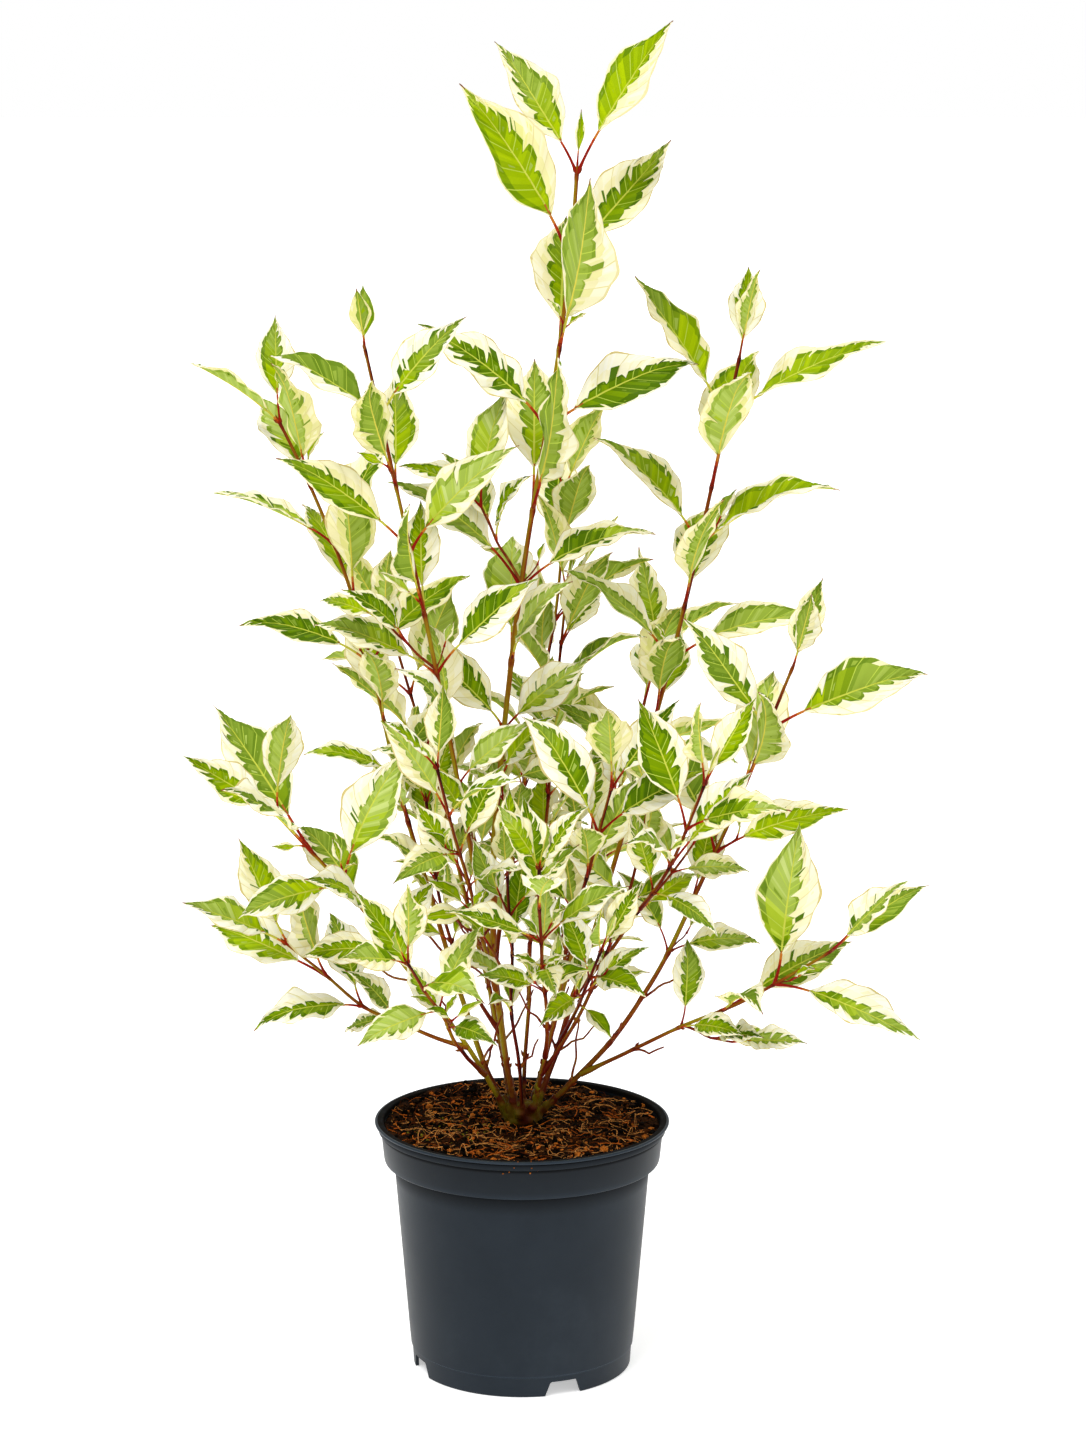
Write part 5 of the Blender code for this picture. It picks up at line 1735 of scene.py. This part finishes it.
def make_pot():
    pot = lathe("pot_body", pot_profile(), POT_SIDES)
    cutters = bpy.data.collections.new("cutters")
    bpy.context.scene.collection.children.link(cutters)
    add_notches(cutters)
    add_drains(cutters)
    cut = pot.modifiers.new("cut", "BOOLEAN")
    cut.operation = "DIFFERENCE"
    cut.operand_type = "COLLECTION"
    cut.collection = cutters
    mesh = baked(pot)
    pot.modifiers.clear()
    pot.data = mesh
    for cutter in list(cutters.objects):
        bpy.data.objects.remove(cutter)
    bpy.data.collections.remove(cutters)
    mesh.materials.clear()
    mesh.materials.append(plastic_material())
    mesh.materials.append(shaded_inner_plastic_material())
    # Faces of the inner wall above the soil and of the lip's inner half take the nearly black plastic:
    # painted shade
    for face in mesh.polygons:
        face.material_index = int(is_inner(face))
    mesh.shade_smooth()
    mesh.set_sharp_from_angle(angle=math.radians(32))
    return pot


def add_cutter(cutters, points, faces):
    cutters.objects.link(bpy.data.objects.new("cutter", new_mesh("cutter", points, faces)))


def is_inner(face):
    """Whether a face of the pot is on its inner wall above the soil or on the lip's inner half."""
    outward = Vector((face.center.x, face.center.y, 0.0))
    high = face.center.z > SOIL_EDGE - WALL and face.normal.z > -0.2
    within = outward.length < RIM_RADIUS - LIP_EDGE
    return high and within and face.normal.dot(outward.normalized()) < 0.2


def shaded_inner_plastic_material():
    """The same plastic above the soil, nearly black as painted shade of the pot's inside, mottled brown
    with peat stain.
    """
    nodes = Nodes("inner pot plastic painted shade", SOIL_SHEEN)
    stain = nodes.noise(nodes.coordinates(), "Object", 120.0, 5.0, 0.6)
    nodes.paint(nodes.ramp(stain, "Fac", INNER_SHADE_TINTS))
    nodes.relief(nodes.bump(stain, "Fac", 0.3, 0.0006))
    nodes.spread(stain, "Fac", 0.55, 0.80, "Roughness")
    return nodes.material


def plastic_material():
    """Anthracite moulded plastic, rougher under the collar and smoother along the lip, with painted shade
    and highlights by height.
    """
    nodes = Nodes("pot plastic", POT_SHEEN)
    place = nodes.coordinates()
    flow = nodes.noise(place, "Object", 9.0, 3.0)
    dust = nodes.noise(place, "Object", 60.0, 6.0, 0.65)
    mix = nodes.math("MULTIPLY_ADD", (dust, "Fac"), 0.4, (flow, "Fac"))
    color = nodes.ramp(mix, "Value", POT_TINTS)
    height = nodes.share_of_height(place, POT_HEIGHT)
    # Painted shade and highlights by height over the plastic's own mottled colour
    nodes.paint(nodes.multiply(color, nodes.grey_ramp(height, "Value", POT_PAINTED_SHADE_AND_HIGHLIGHT)), "Result")
    grain = nodes.noise(place, "Object", 1100.0, 2.0)
    first = nodes.bump(grain, "Fac", 0.10, 0.0002)
    nodes.relief(nodes.bump(flow, "Fac", 0.10, 0.0010, after=first))
    level = nodes.value_ramp(height, "Value", POT_ROUGH)
    dusty = nodes.math("MULTIPLY_ADD", (dust, "Fac"), POT_DUST, (level, "Color"))
    nodes.link(dusty, "Value", nodes.shader, "Roughness")
    return nodes.material


def soil_height(x, y):
    """The soil's surface: level under the canes, falling to the wall, heaped behind, lumpy all over."""
    reach = math.hypot(x, y)
    fall = max(0.0, (reach - SOIL_FLAT_RADIUS) / (soil_radius() - SOIL_FLAT_RADIUS))
    level = SOIL_TOP + (SOIL_EDGE - SOIL_TOP) * fall**1.4
    place = Vector((x, y, 0.3))
    lumps = noise.noise(place * 60.0) * 0.0022 + noise.noise(place * 150.0) * 0.0011
    aside = (math.degrees(math.atan2(y, x)) - HEAP_AZIMUTH + 180.0) % 360.0 - 180.0
    level += HEAP_RISE * fall**2 * math.exp(-((aside / HEAP_SPREAD) ** 2))
    return level + (lumps + noise.noise(place * 420.0) * 0.0005) * min(1.0, 0.25 + reach / 0.03)


def soil_radius():
    rise = (SOIL_EDGE - COLLAR_FOOT_HEIGHT) / (POT_HEIGHT - COLLAR_FOOT_HEIGHT)
    return COLLAR_FOOT_RADIUS + (COLLAR_TOP_RADIUS - COLLAR_FOOT_RADIUS) * rise - WALL - GAP


def make_soil():
    """The root ball: a lumpy top, sides that follow the pot's inside, and its underside."""
    edge = soil_radius()
    inner = WALL + GAP
    channel = CHANNEL_HEIGHT + WALL + GAP
    reaches = [edge * (i / SOIL_RINGS) ** 0.8 for i in range(1, SOIL_RINGS + 1)]
    below = [(COLLAR_FOOT_RADIUS - inner - 0.0008, COLLAR_FOOT_HEIGHT + 2 * WALL + GAP),
             (BODY_TOP_RADIUS - inner, COLLAR_FOOT_HEIGHT + WALL + GAP),
             (BODY_FOOT_RADIUS - inner, SKIRT_HEIGHT + WALL + GAP),
             (SKIRT_TOP_RADIUS - inner - 0.0004, channel),
             (PAD_RADIUS - WALL / 2 - GAP, channel),
             (PAD_RADIUS - WALL - GAP, inner)]
    profile = [(0.0, SOIL_TOP)] + [(r, 0.0) for r in reaches] + below + [(0.0, inner)]
    soil = lathe("soil_ball", profile, SOIL_SIDES)
    for vert in soil.data.vertices[: 1 + SOIL_RINGS * SOIL_SIDES]:
        vert.co.z = soil_height(vert.co.x, vert.co.y)
    soil.data.materials.append(peat_material())
    soil.data.shade_smooth()
    return soil


def peat_material():
    """Dark fibrous peat with paler flecks, dull and rough."""
    nodes = Nodes("peat", SOIL_SHEEN, roughness=0.93)
    place = nodes.coordinates()
    broad = nodes.noise(place, "Object", 90.0, 5.0, 0.6)
    fine = nodes.noise(place, "Object", 750.0, 6.0, 0.7)
    mix = nodes.math("MULTIPLY_ADD", (fine, "Fac"), 0.9, (broad, "Fac"))
    nodes.paint(nodes.ramp(mix, "Value", PEAT_STOPS))
    first = nodes.bump(fine, "Fac", 0.8, 0.0012)
    nodes.relief(nodes.bump(broad, "Fac", 0.5, 0.0030, after=first))
    return nodes.material


def on_soil(rng, margin=0.002):
    reach = (soil_radius() - margin) * math.sqrt(rng.random())
    turn = rng.uniform(0.0, math.tau)
    return reach * math.cos(turn), reach * math.sin(turn)


def crumb_shape(x, y, z, radius, rng):
    """An uneven grain of twenty faces."""
    points = []
    stretch = [rng.uniform(0.6, 1.4) for _ in range(3)]
    spin = rng.uniform(0.0, math.tau)
    for vertex in ICOSAHEDRON:
        reach = radius * rng.uniform(0.75, 1.15)
        px, py, pz = (c * s * reach for c, s in zip(vertex, stretch))
        turned_x = px * math.cos(spin) - py * math.sin(spin)
        turned_y = px * math.sin(spin) + py * math.cos(spin)
        points.append((x + turned_x, y + turned_y, z + pz * 0.8))
    return points, ICOSAHEDRON_FACES


ICOSAHEDRON, ICOSAHEDRON_FACES = icosphere(1, 1.0)


def make_crumbs():
    """Loose grains over the soil, with a few spilt on the lip at the front."""
    rng = random.Random(SEED * 3)
    pile = Pile()
    for _ in range(CRUMB_COUNT):
        x, y = on_soil(rng)
        radius = CRUMB_RADIUS[0] + (CRUMB_RADIUS[1] - CRUMB_RADIUS[0]) * rng.random() ** 3.5
        z = soil_height(x, y) + radius * 0.35
        pile.add(*crumb_shape(x, y, z, radius, rng), rng.choice(CRUMB_MIX))
    for _ in range(MOSS_COUNT):
        x, y = on_soil(rng)
        x, y = x * 0.35 - 0.045, y * 0.35 - 0.02
        z = soil_height(x, y) + 0.0006
        pile.add(*crumb_shape(x, y, z, rng.uniform(0.0004, 0.0010), rng), MOSS_SLOT)
    for azimuth, drop, radius in SPILT:
        below = POT_HEIGHT - drop
        reach = BAND_RADIUS if drop < BAND_FOOT else COLLAR_TOP_RADIUS - 0.0001
        spot = polar(reach if drop else RIM_RADIUS - 0.0018, azimuth, below)
        pile.add(*crumb_shape(*spot, radius, rng), SPILT_SLOT)
    tints = [speckled_material(f"crumb {i + 1}", color) for i, color in enumerate(CRUMB_TINTS)]
    return pile.build("soil_crumbs", tints, sharp=30.0)


def speckled_material(name, color):
    """A dull earth colour with darker grain."""
    nodes = Nodes(name, SOIL_SHEEN, roughness=0.88)
    fine = nodes.noise(nodes.coordinates(), "Object", 1300.0, 3.0)
    dark = tuple(c * 0.62 for c in color)
    light = tuple(min(255, c * 1.16) for c in color)
    nodes.paint(nodes.ramp(fine, "Fac", ((0.36, dark), (0.64, light))))
    nodes.relief(nodes.bump(fine, "Fac", 0.4, 0.0003))
    return nodes.material


def fibre_shape(rng):
    """A curly thread that follows the soil's surface and turns back at the pot's wall."""
    x, y = on_soil(rng, 0.006)
    heading = rng.uniform(0.0, math.tau)
    curl = rng.uniform(-FIBRE_CURL, FIBRE_CURL)
    length = rng.uniform(*FIBRE_LENGTH) * rng.choice(FIBRE_SHARES)
    radius = rng.uniform(*FIBRE_RADIUS)
    arch = rng.uniform(*FIBRE_ARCH) * rng.random()
    arch *= STRAY_LIFT if rng.random() < STRAY_CHANCE else 1.0
    points = []
    for i in range(FIBRE_STEPS + 1):
        lift = arch * math.sin(math.pi * i / FIBRE_STEPS)
        points.append(Vector((x, y, soil_height(x, y) + radius + lift + rng.uniform(0, 0.0003))))
        step = length / FIBRE_STEPS
        heading += curl * step + rng.uniform(-0.35, 0.35)
        x, y = x + math.cos(heading) * step, y + math.sin(heading) * step
        reach = math.hypot(x, y) / (soil_radius() - 0.001)
        if reach > 1.0:
            x, y = x / reach, y / reach
            heading += 0.8
    radii = [radius * (1.0 - 0.6 * i / FIBRE_STEPS) for i in range(FIBRE_STEPS + 1)]
    return ring_mesh(round_rings(points, radii, 4), points[-1] + UP * 0.0001)


def make_fibres():
    """Curly root fibres and thin bark chips that lie on the soil."""
    rng = random.Random(SEED * 9)
    pile = Pile()
    for _ in range(FIBRE_COUNT):
        pile.add(*fibre_shape(rng), rng.choice(FIBRE_MIX))
    for _ in range(CHIP_COUNT):
        x, y = on_soil(rng, 0.004)
        pile.add(*chip_shape(x, y, rng), rng.choice(CHIP_MIX))
    tints = [speckled_material(f"fibre {i + 1}", color) for i, color in enumerate(FIBRE_TINTS)]
    return pile.build("soil_fibres", tints, sharp=50.0)


def chip_shape(x, y, rng):
    """A thin torn flake, tilted on the soil."""
    length = rng.uniform(0.0018, 0.0060)
    wide = length * rng.uniform(0.2, 0.45)
    turn = rng.uniform(0.0, math.tau)
    tilt = rng.uniform(-0.35, 0.35)
    z = soil_height(x, y) + 0.0005 + abs(tilt) * length * 0.4
    rings = []
    for share, width in ((-0.5, 0.4), (-0.2, 1.0), (0.2, 0.85), (0.5, 0.3)):
        along = share * length
        ring = []
        for side, level in ((-1, 0.0), (1, 0.0), (1, 1.0), (-1, 1.0)):
            across = side * wide * width / 2 * rng.uniform(0.8, 1.15)
            ring.append(Vector((
                x + along * math.cos(turn) - across * math.sin(turn),
                y + along * math.sin(turn) + across * math.cos(turn),
                z + along * tilt + level * 0.0004,
            )))
        rings.append(ring[::-1])
    return ring_mesh(rings)


def make_studio():
    """A pale floor, soft distant lamps from the left, the right and behind, and a white surround."""
    edge = [polar(FLOOR_RADIUS, 360.0 * k / FLOOR_SIDES, -0.0002) for k in range(FLOOR_SIDES)]
    floor = in_scene("floor", new_mesh("floor", edge, [tuple(range(FLOOR_SIDES))]))
    floor.data.materials.append(floor_material())
    floor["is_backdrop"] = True
    for name, elevation, azimuth, power, softness in LAMPS:
        lamp = bpy.data.lights.new(name, "SUN")
        lamp.energy = power
        lamp.angle = math.radians(softness)
        way = leaning(90.0 - elevation, azimuth)
        in_scene(name, lamp).rotation_euler = way.to_track_quat("Z", "Y").to_euler()
    world = bpy.data.worlds.new("surround")
    world.use_nodes = True
    tree = world.node_tree
    back = tree.nodes["Background"]
    back.inputs["Color"].default_value = (1.0, 1.0, 1.0, 1.0)
    path = tree.nodes.new("ShaderNodeLightPath")
    level = tree.nodes.new("ShaderNodeMapRange")
    level.inputs["To Min"].default_value = WORLD_LIGHT
    level.inputs["To Max"].default_value = WORLD_SEEN
    tree.links.new(path.outputs["Is Camera Ray"], level.inputs["Value"])
    tree.links.new(level.outputs["Result"], back.inputs["Strength"])
    bpy.context.scene.world = world
    bpy.context.scene.view_settings.view_transform = "Standard"


def floor_material():
    nodes = Nodes("studio floor", 0.1, roughness=0.8)
    fine = nodes.noise(nodes.coordinates(), "Object", 40.0, 2.0)
    nodes.paint(nodes.grey_ramp(fine, "Fac", ((0.3, FLOOR_SHADE), (0.7, FLOOR_SHADE + 1))))
    nodes.shader.inputs["Emission Color"].default_value = (1.0, 1.0, 1.0, 1.0)
    nodes.shader.inputs["Emission Strength"].default_value = FLOOR_GLOW
    return nodes.material


def make_camera():
    lens = bpy.data.cameras.new("camera")
    lens.lens = CAMERA_FOCAL_PIXELS / IMAGE_HEIGHT * lens.sensor_width
    lens.shift_x = CAMERA_SHIFT_PIXELS / IMAGE_HEIGHT
    camera = in_scene("camera", lens)
    camera.location = CAMERA_PLACE
    camera.rotation_euler = (math.radians(90.0 - CAMERA_DOWN), 0.0, 0.0)
    bpy.context.scene.camera = camera


def place(piece, slot, nodes):
    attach(piece, "root")
    if nodes:
        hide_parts(*nodes)


def main():
    for obj in list(bpy.data.objects):
        if obj.name in ("Cube", "Light", "Camera"):
            bpy.data.objects.remove(obj)
    canes = lay_canes()
    space, masses = grow_masses(canes)
    tip_leaves = grow_tip_leaves(space, masses)
    sprigs = grow_sprigs(space, masses)
    snags = grow_snags(space, canes)
    names = sorted(frame["nodes"])
    foliage = [name for name in names if "_foliage" in name]
    woody = [name for name in names if name == "crown" or name.endswith("_cane")]
    leaf_pieces, stalks = make_foliage(masses, tip_leaves, sprigs)
    for piece, nodes in leaf_pieces:
        place(piece, "foliage", nodes)
    place(stalks, "foliage", foliage)
    wood, shoots = make_canes(canes, masses, sprigs, snags)
    place(wood, "bark", woody + foliage)
    place(shoots, "bark", foliage)
    place(make_pot(), "pot_plastic", ["pot"])
    place(make_soil(), "soil", ["soil"])
    place(make_crumbs(), "soil", ["soil"])
    place(make_fibres(), "soil", ["soil"])
    make_studio()
    make_camera()


main()
sizes = {"cad_box": cad_box, "visual_box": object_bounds()}
{key: [list(map(float, corner)) for corner in box] for key, box in sizes.items()}
